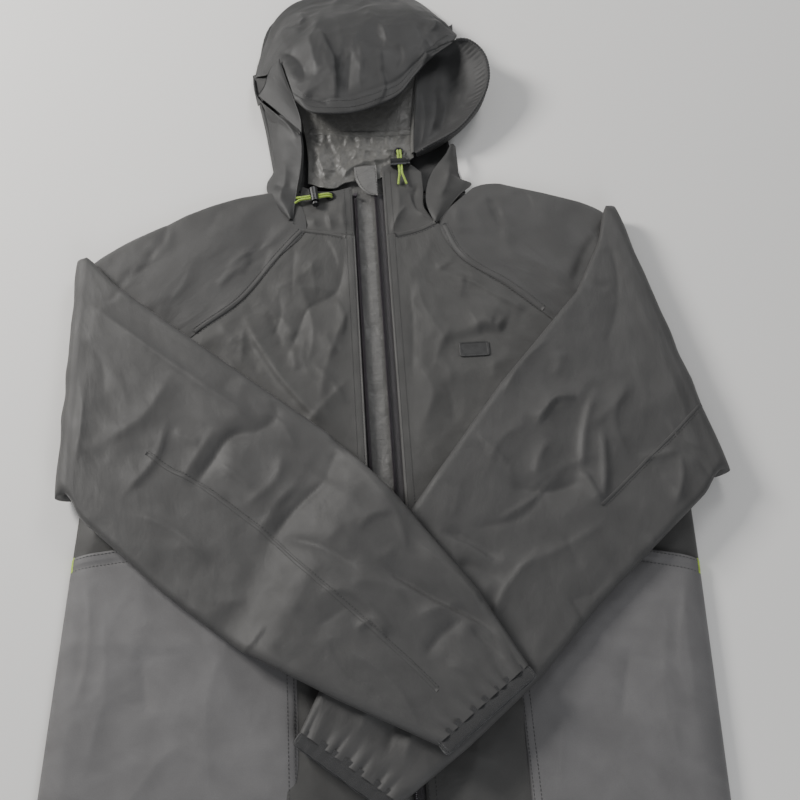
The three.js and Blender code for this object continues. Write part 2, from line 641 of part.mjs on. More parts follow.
const CORD_Z = BARREL_RADIUS + LOCK_CLEARANCE;
const SLOT_HALF_HEIGHT = CORD_RADIUS + SLOT_SPARE;
const SLOT_HALF_LENGTH = CORD_PITCH / 2 + CORD_RADIUS + SLOT_SPARE;
const PLUNGER_TAIL_X = -SLOT_HALF_LENGTH - BARREL_WALL;
const CAVITY_X = PLUNGER_TAIL_X - SPRING_LENGTH - 2 * PLUNGER_GAP;
const BARREL_MOUTH_X = SLOT_HALF_LENGTH + PLUNGER_TRAVEL + 1.2;
const BORE_RADIUS = BARREL_RADIUS - BARREL_WALL;

function ringAlong(inner, outer, length, sides = 20) {
  const profile = [[inner, 0], [outer, 0], [outer, length], [inner, length], [inner, 0]];
  return new THREE.LatheGeometry(profile.map(([r, h]) => new THREE.Vector2(r, h)), sides);
}

// Two cords come out of an eyelet, run through a sprung lock and end in short cut tails.
// In the lock's own frame the cords run along -y, and the barrel and its plunger lie along x.
function addCordLock(name, [x, y], turn) {
  const lock = new THREE.Group();
  lock.position.set(x, y, FRONT_Z + FABRIC);
  lock.rotation.z = THREE.MathUtils.degToRad(turn);
  jacket.add(lock);

  const eyelet = ringAlong(EYELET_RADIUS - 1.6, EYELET_RADIUS, EYELET_HEIGHT).rotateX(Math.PI / 2);
  add(`${name}_eyelet`, eyelet, ENAMEL, lock).position.set(0, EYELET_AT, SEAM + EYELET_HEIGHT);

  const slot = (end) => block(
    [-SLOT_HALF_LENGTH, -2 * BARREL_RADIUS, -SLOT_HALF_HEIGHT],
    [end, 2 * BARREL_RADIUS, SLOT_HALF_HEIGHT]);
  const barrel = cut(
    rod(BARREL_RADIUS, CAVITY_X - BARREL_WALL, BARREL_MOUTH_X),
    rod(BORE_RADIUS, CAVITY_X, BARREL_MOUTH_X + 1), slot(SLOT_HALF_LENGTH));
  add(`${name}_lock_barrel`, barrel, PLASTIC, lock).position.z = CORD_Z;

  const headX = BARREL_MOUTH_X + PLUNGER_GAP + PLUNGER_TRAVEL;
  const plunger = cut(joined(
    rod(BORE_RADIUS - PLUNGER_GAP, PLUNGER_TAIL_X, headX + HEAD_LENGTH / 2),
    rod(BORE_RADIUS + 0.7, headX, headX + HEAD_LENGTH)),
  slot(SLOT_HALF_LENGTH + PLUNGER_TRAVEL));
  add(`${name}_lock_plunger`, plunger, PLASTIC, lock).position.z = CORD_Z;

  const spring = ringAlong(SPRING_RADIUS - SPRING_WIRE, SPRING_RADIUS, SPRING_LENGTH, 12);
  spring.rotateZ(-Math.PI / 2).translate(CAVITY_X + PLUNGER_GAP, 0, 0);
  add(`${name}_lock_spring`, spring, STEEL, lock).position.z = CORD_Z;

  [['a', -1, [-2.4, -3.6]], ['b', 1, [3.0, 5.4]]].forEach(([letter, side, splay]) => {
    const across = side * CORD_PITCH / 2;
    add(`${name}_cord_${letter}`, tube([
      [across, 18.5, 0.5], [across, 17.8, 2.8], [across, 16, 4.4], [across, 13.5, CORD_Z],
      [across, 6, CORD_Z], [across, -4, CORD_Z], [across, -15, CORD_Z],
      [splay[0], -20, 4], [splay[1], -27, 2],
    ], CORD_RADIUS, 8, 24), NEON, lock);
  });
}

// ---------------------------------------------------------------- Assembly

addBack();
[RIGHT, LEFT].forEach((side) => {
  addFront(side);
  addPocket(side);
  addUpperSleeve(side);
});
addNeckPanel(RIGHT, [[-104, 354]], 354);
addNeckPanel(LEFT, [[70, 372], [40, 384], [38, 402], [6, 402]], 372);
addForearm(RIGHT, rightForearmZ);
addForearm(LEFT, leftForearmZ);
addHem();
addBadge();
addHood();
addHoodBinding();
addZip();
addCordLock('right', [-78, 329], -80);
addCordLock('left', [13, 375], 4);

export default jacket;
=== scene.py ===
# Looks of a light hooded shell jacket that lies on its back with both sleeves folded over its front.
# Shapes are laid out in millimetres in the frame of the CAD model and made in metres.

import math

import bpy
import numpy as np
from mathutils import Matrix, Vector
from mathutils.bvhtree import BVHTree


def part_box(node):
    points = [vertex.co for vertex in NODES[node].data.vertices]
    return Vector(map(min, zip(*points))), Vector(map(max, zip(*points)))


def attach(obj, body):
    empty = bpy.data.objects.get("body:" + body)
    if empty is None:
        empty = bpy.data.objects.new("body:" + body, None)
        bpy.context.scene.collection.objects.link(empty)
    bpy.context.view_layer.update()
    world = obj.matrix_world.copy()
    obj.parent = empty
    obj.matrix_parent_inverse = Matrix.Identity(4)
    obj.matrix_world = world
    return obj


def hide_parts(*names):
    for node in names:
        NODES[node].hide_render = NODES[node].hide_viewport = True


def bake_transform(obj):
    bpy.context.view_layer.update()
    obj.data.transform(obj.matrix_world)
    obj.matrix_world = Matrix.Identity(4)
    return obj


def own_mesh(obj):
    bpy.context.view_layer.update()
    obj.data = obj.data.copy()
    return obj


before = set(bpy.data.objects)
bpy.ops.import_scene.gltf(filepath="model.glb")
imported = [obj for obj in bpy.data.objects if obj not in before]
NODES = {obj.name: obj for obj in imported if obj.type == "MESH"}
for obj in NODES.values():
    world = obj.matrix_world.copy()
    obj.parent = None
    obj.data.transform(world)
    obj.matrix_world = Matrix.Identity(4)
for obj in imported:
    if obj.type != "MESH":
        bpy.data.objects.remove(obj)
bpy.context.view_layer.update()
MM = 0.001
CREST_RADIUS = 0.9       # rounding of a fold's crest, in millimetres
CREST_SHARPNESS = 16     # how sharply one bowl of a buckle gives way to the next
scene = bpy.context.scene

# ---------------------------------------------------------------- Camera

camera = bpy.data.objects.new("camera", bpy.data.cameras.new("camera"))
camera.data.lens = 49.5
camera.data.sensor_width = 36
camera.location = (0.013, -0.388, 0.966)
camera.rotation_euler = (math.radians(26.6), 0, 0)
scene.collection.objects.link(camera)
scene.camera = camera

# ---------------------------------------------------------------- Lines and surfaces


def unit(vectors):
    """Vectors scaled to a length of one, along the last axis."""
    return vectors / np.linalg.norm(vectors, axis=-1, keepdims=True)


def lengths_along(line):
    """How far each point of a line lies from its start."""
    return np.r_[0, np.cumsum(np.linalg.norm(np.diff(line, axis=0), axis=1))]


def evenly(points, n):
    """n points spread evenly along a line with corners."""
    p = np.array(points, float)
    s = lengths_along(p)
    at = np.linspace(0, s[-1], n)
    return np.stack([np.interp(at, s, p[:, k]) for k in range(p.shape[1])], 1)


def spline(points, n):
    """n points spread evenly along a smooth line through a few given ones."""
    p = np.array(points, float)
    if len(p) < 3:
        return evenly(p, n)
    p = np.vstack([2 * p[0] - p[1], p, 2 * p[-1] - p[-2]])
    t = np.r_[0, np.cumsum(np.sqrt(np.linalg.norm(np.diff(p, axis=0), axis=1)))]
    out = []
    for i in range(1, len(p) - 2):
        u = np.linspace(t[i], t[i + 1], 20, endpoint=False)[:, None]

        def between(a, b, pa, pb):
            return ((t[b] - u) * pa + (u - t[a]) * pb) / (t[b] - t[a])

        a1, a2, a3 = (between(k, k + 1, p[k], p[k + 1]) for k in (i - 1, i, i + 1))
        b1, b2 = between(i - 1, i + 1, a1, a2), between(i, i + 2, a2, a3)
        out.append(between(i, i + 1, b1, b2))
    return evenly(np.vstack([*out, p[-2]]), n)


def smoothstep(t):
    """0 below 0, 1 above 1 and an even curve between them."""
    t = np.clip(t, 0, 1)
    return t * t * (3 - 2 * t)


def mix(a, b, t):
    """a at t = 0 and b at t = 1."""
    return a + (b - a) * t


def noise(x, y, seed):
    """Smooth noise from about -1 to 1, in cells of one unit."""
    table = np.random.RandomState(seed)
    angle, order = table.rand(256) * 2 * np.pi, table.permutation(256)
    xi, yi = np.floor(x).astype(int), np.floor(y).astype(int)
    fx, fy = x - xi, y - yi

    def corner(dx, dy):
        a = angle[order[(order[(xi + dx) % 256] + yi + dy) % 256]]
        return np.cos(a) * (fx - dx) + np.sin(a) * (fy - dy)

    u, v = smoothstep(fx), smoothstep(fy)
    return 1.5 * mix(mix(corner(0, 0), corner(1, 0), u), mix(corner(0, 1), corner(1, 1), u), v)


def crumple(x, y, seed, size=80, height=1.6, stretch=(1, 1)):
    """Shallow folds with fairly sharp crests, as thin coated nylon keeps after it was packed."""
    wx = x + 22 * noise(x / 95, y / 95, seed + 1)
    wy = y + 22 * noise(x / 95 + 40, y / 95, seed + 2)
    total = 0.8 * noise(x / 130, y / 130, seed + 9)
    for k, (scale, share) in enumerate([(1, 1), (0.5, 0.5), (0.24, 0.22)]):
        n = noise(wx / (size * scale * stretch[0]), wy / (size * scale * stretch[1]), seed + 3 + k)
        total = total + share * (0.55 - 1.6 * np.abs(n))
    return height * total


def relief(x, y, folds):
    """Height that a list of folds adds at each point. A fold is (kind, points, width, height)."""
    total = np.zeros_like(x)
    for kind, points, width, height in folds:
        (x0, y0), (x1, y1) = np.min(points, axis=0) - 4 * width, np.max(points, axis=0) + 4 * width
        reach = (x > x0) & (x < x1) & (y > y0) & (y < y1)
        if reach.any():
            total[reach] += one_fold(x[reach], y[reach], kind, points, width, height)
    return total


def one_fold(x, y, kind, points, width, height):
    """Height of a fold along a line: a ridge, a sharper crease, or a step that is steep on one side."""
    c = spline(points, 12 if len(points) == 3 else 24)
    best = np.full(x.shape, np.inf)
    side = np.zeros_like(x)
    along = np.zeros_like(x)
    for k in range(len(c) - 1):
        (ax, ay), (bx, by) = c[k], c[k + 1]
        dx, dy = bx - ax, by - ay
        t = np.clip(((x - ax) * dx + (y - ay) * dy) / (dx * dx + dy * dy), 0, 1)
        ex, ey = x - ax - t * dx, y - ay - t * dy
        d = np.hypot(ex, ey)
        near = d < best
        best = np.where(near, d, best)
        side = np.where(near, np.sign(dx * ey - dy * ex), side)
        along = np.where(near, (k + t) / (len(c) - 1), along)
    taper = smoothstep(np.minimum(along, 1 - along) / 0.3 + 0.08)
    best = np.hypot(best, CREST_RADIUS) - CREST_RADIUS
    if kind == "ridge":
        shape = np.exp(-best / (0.8 * width))
    elif kind == "crease":
        shape = np.exp(-best / (0.6 * width))
    else:
        shape = np.exp(-best / np.where(side > 0, width, 0.22 * width))
    return height * taper * shape


def buckles(x, y, seed, size, height, turn=0.0, stretch=1.7):
    """Sharp crests between shallow bowls, as thin stiff nylon buckles: the lowest of many bowls."""
    c, s = math.cos(math.radians(turn)), math.sin(math.radians(turn))
    u = (c * x + s * y) / (size * stretch) + 0.35 * noise(x / (2.2 * size), y / (2.2 * size), seed + 1)
    v = (c * y - s * x) / size + 0.35 * noise(x / (2.2 * size) + 9, y / (2.2 * size), seed + 2)
    dice = np.random.RandomState(seed)
    shift, order = dice.rand(256, 3), dice.permutation(256)
    iu, iv = np.floor(u).astype(int), np.floor(v).astype(int)
    total = np.zeros_like(x)
    for du in (-1, 0, 1):
        for dv in (-1, 0, 1):
            cell = order[(order[(iu + du) % 256] + iv + dv) % 256]
            a, b, rise = shift[cell, 0], shift[cell, 1], shift[cell, 2]
            bowl = (iu + du + a - u) ** 2 + (iv + dv + b - v) ** 2 + 0.35 * rise
            total += np.exp(-CREST_SHARPNESS * bowl)
    calm = 0.25 + 0.75 * smoothstep(0.5 + 1.1 * noise(x / (3 * size), y / (3 * size), seed + 3))
    return height * calm * (-np.log(total) / CREST_SHARPNESS - 0.3)


def away_from(x, y, line, reach):
    """0 within reach of a line and 1 from 12 mm further on."""
    near = np.min([np.hypot(x - a, y - b) for a, b in evenly(line, 12)], axis=0)
    return smoothstep((near - reach) / 12)


def scattered(seed, count, box, turn, spread, length, width, height):
    """Small creases strewn over a box (x0, y0, x1, y1), mostly running at one angle in degrees."""
    dice = np.random.RandomState(seed)
    folds = []
    for _ in range(count):
        x, y = dice.uniform(box[0], box[2]), dice.uniform(box[1], box[3])
        a = math.radians(turn + dice.uniform(-spread, spread))
        run = dice.uniform(*length) / 2
        bend = dice.uniform(-0.35, 0.35) * run
        c, s = math.cos(a), math.sin(a)
        points = [(x - c * run, y - s * run), (x - s * bend, y + c * bend), (x + c * run, y + s * run)]
        kind = ("step", "crease", "ridge")[dice.randint(3)]
        sign = 1 if dice.rand() < 0.62 else -0.8
        folds.append((kind, points, dice.uniform(*width), sign * dice.uniform(*height)))
    return folds


def hung(line, steps, axis=1):
    """A grid made of copies of a line, each moved by one (x, y, z) step."""
    return np.stack([line + np.array(step) for step in steps], axis)


def normals(p):
    """Unit normals of a grid of points."""
    n = np.cross(np.gradient(p, axis=1), np.gradient(p, axis=0))
    return n / np.maximum(np.linalg.norm(n, axis=2, keepdims=True), 1e-9)


def finished(name, verts, faces, material, body, stands_for=(), uvs=None, edge=None):
    """A mesh object from points in millimetres, riding on a body."""
    mesh = bpy.data.meshes.new(name)
    mesh.from_pydata((np.asarray(verts, float) * MM).tolist(), [], faces)
    mesh.update()
    mesh.shade_smooth()
    if edge is not None:
        mesh.set_sharp_from_angle(angle=math.radians(edge))
    if uvs is not None:
        layer = mesh.uv_layers.new(name="UVMap")
        loops = np.zeros(len(mesh.loops), int)
        mesh.loops.foreach_get("vertex_index", loops)
        layer.data.foreach_set("uv", (np.asarray(uvs)[loops] * MM).ravel())
    mesh.materials.append(material)
    obj = bpy.data.objects.new(name, mesh)
    scene.collection.objects.link(obj)
    if body:
        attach(obj, body)
    if stands_for:
        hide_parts(*stands_for)
    return obj


def flat_lengths(p):
    """How far each point of a grid lies along its row and its column, in millimetres."""
    rows, cols = p.shape[:2]
    u = np.r_[0, np.cumsum(np.linalg.norm(np.diff(p, axis=1), axis=2).mean(axis=0))]
    v = np.r_[0, np.cumsum(np.linalg.norm(np.diff(p, axis=0), axis=2).mean(axis=1))]
    return np.stack(np.broadcast_arrays(u[None, :], v[:, None]), 2).reshape(rows * cols, 2)


def cloth(name, p, material, body="root", stands_for=(), thick=0.5, flip=False):
    """A panel of fabric over a grid of points, with a hem's thickness below it."""
    rows, cols = p.shape[:2]
    n = normals(p)
    if (n[..., 2].mean() < 0) != flip:
        n = -n
    under = p - n * thick
    count = rows * cols
    verts = np.vstack([p.reshape(-1, 3), under.reshape(-1, 3)])
    i, j = np.meshgrid(np.arange(rows - 1), np.arange(cols - 1), indexing="ij")
    a = (i * cols + j).ravel()
    quads = np.stack([a, a + 1, a + cols + 1, a + cols], 1)
    q = p.reshape(-1, 3)
    face = np.cross(q[quads[:, 1]] - q[quads[:, 0]], q[quads[:, 3]] - q[quads[:, 0]])
    if (face * n.reshape(-1, 3)[quads[:, 0]]).sum() < 0:
        quads = quads[:, ::-1]
    faces = quads.tolist() + (quads[:, ::-1] + count).tolist()
    rim = [*range(cols), *(k * cols + cols - 1 for k in range(1, rows)),
           *(count - 2 - k for k in range(cols - 1)), *(k * cols for k in range(rows - 2, 0, -1))]
    for k, m in zip(rim, [*rim[1:], rim[0]]):
        faces.append([k, k + count, m + count, m])
    uvs = np.vstack([flat_lengths(p)] * 2)
    return finished(name, verts, faces, material, body, stands_for, uvs)


def loop_faces(rows, cols, capped=False):
    """Faces of a grid whose last column joins its first, with both ends closed where it is capped."""
    faces = [[i * cols + j, i * cols + (j + 1) % cols, (i + 1) * cols + (j + 1) % cols, (i + 1) * cols + j]
             for i in range(rows - 1) for j in range(cols)]
    if capped:
        faces += [list(range(cols))[::-1], [(rows - 1) * cols + k for k in range(cols)]]
    return faces


def tube(name, path, radius, material, body="root", stands_for=(), sides=8):
    """A round rod along a line of points, closed at both ends, with one radius or one for each point."""
    path = np.asarray(path, float)
    along = unit(np.gradient(path, axis=0))
    across = np.cross(along, [0, 0, 1.0])
    upright = np.linalg.norm(across, axis=1) < 1e-3
    across[upright] = np.cross(along[upright], [1.0, 0, 0])
    across = unit(across)
    lift = np.cross(across, along)
    turn = np.arange(sides) * 2 * np.pi / sides
    ring = across[:, None] * np.cos(turn)[None, :, None] + lift[:, None] * np.sin(turn)[None, :, None]
    p = path[:, None] + ring * np.reshape(radius, (-1, 1, 1))
    faces = loop_faces(len(path), sides, capped=True)
    return finished(name, p.reshape(-1, 3), faces, material, body, stands_for, edge=50)


# ---------------------------------------------------------------- Cords


def local_frame(at, turn):
    """A function from points of a lock's own frame, turned by an angle in degrees, to the row frame."""
    c, s = math.cos(math.radians(turn)), math.sin(math.radians(turn))
    return lambda x, y, z: (at[0] + x * c - y * s, at[1] + x * s + y * c, at[2] + z)


LOCKS = {"right": local_frame((-78, 329, 12), -80), "left": local_frame((13, 375, 12), 4)}
CORD_WIDE = 2.5


def cord(name, lock, x, tail):
    """One leg of a lock's loop: out of the eyelet, over, through the barrel and down to its cut end."""
    legs = [(x, 18.5, 0.5), (x, 17.8, 2.8), (x, 16, 4.4), (x, 13.5, 5), (x, 6, 5), (x, -4, 5), (x, -15, 5),
            (tail[0], -20, 4), (tail[1], -27, 2)]
    route = spline([LOCKS[lock](*q) for q in legs], 40)
    braid = tube(name + "_braid", route, CORD_WIDE / 2, None, stands_for=(name,), sides=12)
    return braid


cords = [cord(f"{lock}_cord_{leg}", lock, x, tail) for lock in ("right", "left")
         for leg, x, tail in (("a", -1.5, (-2.4, -3.6)), ("b", 1.5, (3.0, 5.4)))]

# ---------------------------------------------------------------- Materials


def material(name, colour, rough, metal=0.0):
    """A plain material, its node tree and its shader node."""
    m = bpy.data.materials.new(name)
    m.use_nodes = True
    shader = m.node_tree.nodes["Principled BSDF"]
    shader.inputs["Base Color"].default_value = (*colour, 1)
    shader.inputs["Roughness"].default_value = rough
    shader.inputs["Metallic"].default_value = metal
    return m, m.node_tree, shader


def node(tree, kind, at=None, **inputs):
    """A node with some inputs set, their spaces written as underscores, over the coordinates at."""
    made = tree.nodes.new(kind)
    for key, value in inputs.items():
        made.inputs[key.replace("_", " ")].default_value = value
    if at:
        tree.links.new(at, made.inputs["Vector"])
    return made


def place(tree, output):
    """Coordinates of the surface in millimetres."""
    found = tree.nodes.new("ShaderNodeTexCoord")
    return node(tree, "ShaderNodeMapping", found.outputs[output], Scale=(1000, 1000, 1000)).outputs["Vector"]


def bumped(tree, shader, layers):
    """Bump from a chain of (height output, strength, distance in metres)."""
    last = None
    for height, strength, distance in layers:
        bump = node(tree, "ShaderNodeBump", Strength=strength, Distance=distance)
        tree.links.new(height, bump.inputs["Height"])
        if last:
            tree.links.new(last.outputs["Normal"], bump.inputs["Normal"])
        last = bump
    tree.links.new(last.outputs["Normal"], shader.inputs["Normal"])


def shaded(tree, factor, low, high, colour, dark, light):
    """A colour that runs from dark to light times itself as a factor runs from low to high."""
    ramp = tree.nodes.new("ShaderNodeValToRGB")
    for element, position, share in zip(ramp.color_ramp.elements, (low, high), (dark, light)):
        element.position = position
        element.color = (*(c * share for c in colour), 1)
    tree.links.new(factor, ramp.inputs["Fac"])
    return ramp.outputs["Color"]


def polished(tree, shader, factor, low, high):
    """Roughness that runs from low to high with a factor."""
    gloss = node(tree, "ShaderNodeMapRange", To_Min=low, To_Max=high)
    tree.links.new(factor, gloss.inputs["Value"])
    tree.links.new(gloss.outputs["Result"], shader.inputs["Roughness"])


def banded(tree, at, width, direction="X", **inputs):
    """A wave texture with bands of some width in millimetres."""
    wave = node(tree, "ShaderNodeTexWave", at, Scale=1 / (width * ONE_TURN / RADIANS_PER_UNIT), **inputs)
    wave.bands_direction = direction
    return wave.outputs["Fac"]


def woven(name, colour, rough, crinkle, crease_size=30, sheen=0.25, ripstop=0.0):
    """Coated nylon: fine threads both ways, small creases, crests slightly glossier from wear, and painted
    shade in the crease hollows with painted light on the crests.
    """
    m, tree, shader = material(name, colour, rough)
    link = tree.links.new
    flat = place(tree, "UV")
    threads = node(tree, "ShaderNodeMath")
    threads.operation = "MAXIMUM"
    for k, direction in enumerate("XY"):
        link(banded(tree, flat, THREAD_WIDE, direction, Distortion=0.6, Detail=1.0), threads.inputs[k])

    creases = node(tree, "ShaderNodeTexNoise", flat, Scale=1 / crease_size, Detail=3.0, Roughness=0.5,
                   Distortion=0.25)
    stretched = node(tree, "ShaderNodeVectorMath")
    stretched.operation = "SCALE"
    stretched.inputs["Scale"].default_value = 1.1 * crease_size
    link(creases.outputs["Color"], stretched.inputs[0])
    bent = node(tree, "ShaderNodeMixRGB", Fac=1)
    bent.blend_type = "ADD"
    link(flat, bent.inputs["Color1"])
    link(stretched.outputs["Vector"], bent.inputs["Color2"])
    sharp = node(tree, "ShaderNodeTexVoronoi", bent.outputs["Color"], Scale=0.7 / crease_size)
    sharp.feature = "DISTANCE_TO_EDGE"
    edges = node(tree, "ShaderNodeMapRange", From_Max=0.35)
    link(sharp.outputs["Distance"], edges.inputs["Value"])

    layers = [(creases.outputs["Fac"], crinkle, 0.0022 * crease_size / 30),
              (edges.outputs["Result"], 0.35 * crinkle, 0.0012),
              (threads.outputs["Value"], 0.25, 0.0001)]
    if ripstop:
        squares = node(tree, "ShaderNodeTexBrick", flat, Scale=1 / ripstop, Mortar_Size=0.06, Brick_Width=1,
                       Row_Height=1)
        squares.offset = 0
        layers.append((squares.outputs["Fac"], 0.6, 0.0002))
    bumped(tree, shader, layers)

    specks = node(tree, "ShaderNodeTexNoise", flat, Scale=0.9, Detail=2.0)
    mixed = node(tree, "ShaderNodeMixRGB", Fac=0.12)
    mixed.blend_type = "OVERLAY"
    # Base colour follows the crease bump's noise: painted shade in the hollows, painted light on the crests.
    link(shaded(tree, creases.outputs["Fac"], 0.3, 0.72, colour, 0.9, 1.1), mixed.inputs["Color1"])
    link(specks.outputs["Fac"], mixed.inputs["Color2"])
    link(mixed.outputs["Color"], shader.inputs["Base Color"])
    polished(tree, shader, creases.outputs["Fac"], rough + 0.1, rough - 0.08)
    shader.inputs["Specular IOR Level"].default_value = 0.38
    shader.inputs["Sheen Weight"].default_value = sheen
    shader.inputs["Sheen Roughness"].default_value = 0.45
    return m


def knitted(name, colour, pitch, rough=0.8, coords="UV"):
    """Ribbed elastic or braid."""
    m, tree, shader = material(name, colour, rough)
    flat = place(tree, coords)
    rib = banded(tree, flat, pitch, Distortion=0.8, Detail=2.0)
    across = banded(tree, flat, 0.5 * pitch, "Y", Distortion=1.0)
    bumped(tree, shader, [(rib, 0.6, 0.0005), (across, 0.35, 0.0002)])
    # Base colour follows the rib bump: painted shade in the grooves, painted light on the ribs.
    tree.links.new(shaded(tree, rib, 0.1, 0.9, colour, 0.62, 1.2), shader.inputs["Base Color"])
    shader.inputs["Sheen Weight"].default_value = 0.3
    return m


def moulded(name, colour, rough, metal=0.0, coat=0.0):
    """Moulded plastic or cast metal with a fine grain and slightly polished wear."""
    m, tree, shader = material(name, colour, rough, metal)
    spread = place(tree, "Object")
    fine = node(tree, "ShaderNodeTexNoise", spread, Scale=1.5, Detail=3.0).outputs["Fac"]
    broad = node(tree, "ShaderNodeTexNoise", spread, Scale=0.15, Detail=2.0).outputs["Fac"]
    bumped(tree, shader, [(fine, 0.3, 0.0001)])
    tree.links.new(shaded(tree, broad, 0.35, 0.65, colour, 0.82, 1.2), shader.inputs["Base Color"])
    polished(tree, shader, fine, max(rough - 0.08, 0.05), rough + 0.1)
    shader.inputs["Coat Weight"].default_value = coat
    return m


THREAD_WIDE = 0.9        # spacing of the woven threads, in millimetres
ONE_TURN, RADIANS_PER_UNIT = 6.283, 20     # a wave texture turns this far in one unit
SHELL = woven("shell_nylon", (0.062, 0.061, 0.059), rough=0.60, crinkle=0.4, sheen=0.06)
SLEEVE = woven("sleeve_nylon", (0.061, 0.060, 0.059), rough=0.58, crinkle=0.4, sheen=0.06)
POCKET = woven("pocket_nylon", (0.134, 0.131, 0.132), rough=0.62, crinkle=0.3, sheen=0.08)
HOOD = woven("hood_nylon", (0.037, 0.037, 0.037), rough=0.56, crinkle=0.35, sheen=0.05)
LINING = woven("hood_lining", (0.100, 0.098, 0.092), rough=0.42, crinkle=0.9, crease_size=9)
RIPSTOP = woven("ripstop_nylon", (0.125, 0.123, 0.119), rough=0.42, crinkle=0.9, crease_size=9, ripstop=5)
ELASTIC = knitted("elastic_binding", (0.030, 0.030, 0.031), 1.6)
TAPE = knitted("zip_tape_twill", (0.034, 0.030, 0.034), 0.9, rough=0.75)
COIL = moulded("zip_coil_nylon", (0.045, 0.038, 0.045), 0.35)
ENAMEL = moulded("zip_enamel", (0.022, 0.022, 0.024), 0.35, metal=0.6)
EYELET = moulded("eyelet_metal", (0.05, 0.05, 0.052), 0.35, metal=0.9)
BLACK = moulded("lock_plastic", (0.014, 0.014, 0.015), 0.38, coat=0.1)
STEEL = moulded("spring_steel", (0.5, 0.5, 0.5), 0.25, metal=1.0)
NEON = knitted("neon_braid", (0.50, 0.72, 0.08), 1.1, rough=0.6, coords="Object")
THREAD = moulded("shell_thread", (0.055, 0.055, 0.055), 0.6)
NEON_THREAD = moulded("neon_thread", (0.50, 0.70, 0.07), 0.6)
BADGE = moulded("badge_rubber", (0.030, 0.030, 0.030), 0.5)
for braid in cords:
    braid.data.materials[0] = NEON

# ---------------------------------------------------------------- Outline of the jacket

LEAN = math.radians(3.7)         # the zip's slant to the wearer's right as it rises
ZIP_FOOT = (30.944, -357.0)
ZIP_LENGTH = 696.45
ZIP_Z = 10.0
HEM_Y, COLLAR_Y, NECK_Y = -333.0, 283.0, 345.0
HALF_WIDTH = 286                 # from the middle of the body to the outer end of a pocket mouth
POCKET_INNER = 95                # from the zip to the pocket's inner seam


def zip_at(u, along, z=0.0):
    """World point of the zip's own frame: u across it, along up from its foot, z over the front."""
    return (ZIP_FOOT[0] + u * math.cos(LEAN) - along * math.sin(LEAN),
            ZIP_FOOT[1] + u * math.sin(LEAN) + along * math.cos(LEAN), ZIP_Z + z)


def beside_zip(u, y):
    """World (x, y) at a height y, u to the side of the zip."""
    along = (y - ZIP_FOOT[1] - u * math.sin(LEAN)) / math.cos(LEAN)
    return zip_at(u, along)[:2]


class Side:
    """The lines that shape one half of the jacket, in millimetres."""

    def __init__(self, **facts):
        self.__dict__.update(facts)


def out_from(top, points):
    """Points that are given from the top of a fold."""
    return [(top[0] + x, top[1] + y) for x, y in points]


RIGHT = Side(
    name="right", sign=-1, edge=-24.2, neck=(-104, 344),
    raglan=[(-89, 290), (-115, 256), (-150, 203), (-193, 165), (-283, 70)],
    shoulder=[(-104, 344), (-129, 342), (-194, 319), (-256, 284), (-316, 246)],
    fold=[(-317, 244), (-304, -15)], armpit=[(-283, 70), (-291, 40), (-304, -15)],
    upper=out_from((-320, 244), [(3, 0), (130, -96), (266, -197), (332, -267), (401, -353), (441, -418)]),
    lower=out_from((-320, 244), [(16, -259), (38, -278), (122, -349), (200, -406), (280, -446), (364, -483)]))
LEFT = Side(
    name="left", sign=1, edge=9.0, neck=(92, 344),
    raglan=[(58, 300), (77, 258), (125, 221), (176, 175), (283, 70)],
    shoulder=[(92, 344), (97, 356), (146, 345), (195, 330), (238, 315)],
    fold=[(239, 313), (320, 13)], armpit=[(283, 70), (297, 50), (320, 13)],
    upper=out_from((241, 313), [(-2, 0), (-51, -109), (-131, -212), (-191, -301), (-240, -375), (-311, -539)]),
    lower=out_from((241, 313), [(79, -300), (38, -340), (-52, -429), (-109, -495), (-170, -550), (-228, -596)]))

# ---------------------------------------------------------------- Body

CHEST_FOLDS = {
    "right": [
        ("ridge", [(-43, 268), (-52, 214), (-80, 192), (-90, 164), (-104, 122)], 9, -3.4),
        ("ridge", [(-30, 250), (-36, 200), (-50, 160), (-62, 110), (-66, 60)], 11, 2.8),
        ("step", [(-146, 190), (-128, 150), (-108, 118), (-57, 57)], 11, 4.6),
        ("ridge", [(-205, 158), (-150, 112), (-100, 72), (-58, 50)], 7, -4.0),
        ("ridge", [(-122, 194), (-108, 160), (-104, 141)], 7, -2.6),
        ("ridge", [(-70, 262), (-84, 236), (-118, 214)], 10, 2.2),
        ("crease", [(-96, 240), (-74, 170), (-78, 120)], 7, 1.6),
        ("ridge", [(-165, 150), (-134, 96), (-98, 60)], 12, 2.0),
        ("step", [(-32, 120), (-60, 84), (-96, 40)], 12, 1.8),
    ],
    "left": [
        ("step", [(55, 236), (85, 225), (112, 207), (140, 190)], 10, 3.0),
        ("crease", [(48, 240), (60, 247), (74, 261)], 5, 2.2),
        ("ridge", [(30, 250), (36, 200), (60, 150), (62, 90)], 12, 2.6),
        ("ridge", [(22, 230), (26, 170), (24, 100)], 6, -1.6),
        ("ridge", [(80, 200), (96, 160), (104, 120)], 12, 2.4),
        ("step", [(130, 196), (110, 160), (70, 130)], 10, -1.8),
    ],
}
LOWER_FOLDS = [
    ("ridge", [(-60, -60), (-66, -160), (-58, -280)], 14, 1.8),
    ("ridge", [(74, -120), (80, -200), (70, -300)], 14, 1.8),
    ("ridge", [(-200, 0), (-150, -60), (-120, -110)], 16, 2.0),
    ("ridge", [(200, 20), (170, -60), (150, -120)], 16, 2.0),
    ("ridge", [(-250, 20), (-262, -30), (-270, -70)], 10, 1.6),
]


def pocket_mouth(side):
    """Points of a pocket's upper edge, from the side seam inwards."""
    s = side.sign
    return [(s * HALF_WIDTH, -71), (s * 227, -62), (s * 160, -56), beside_zip(s * POCKET_INNER, -54)]


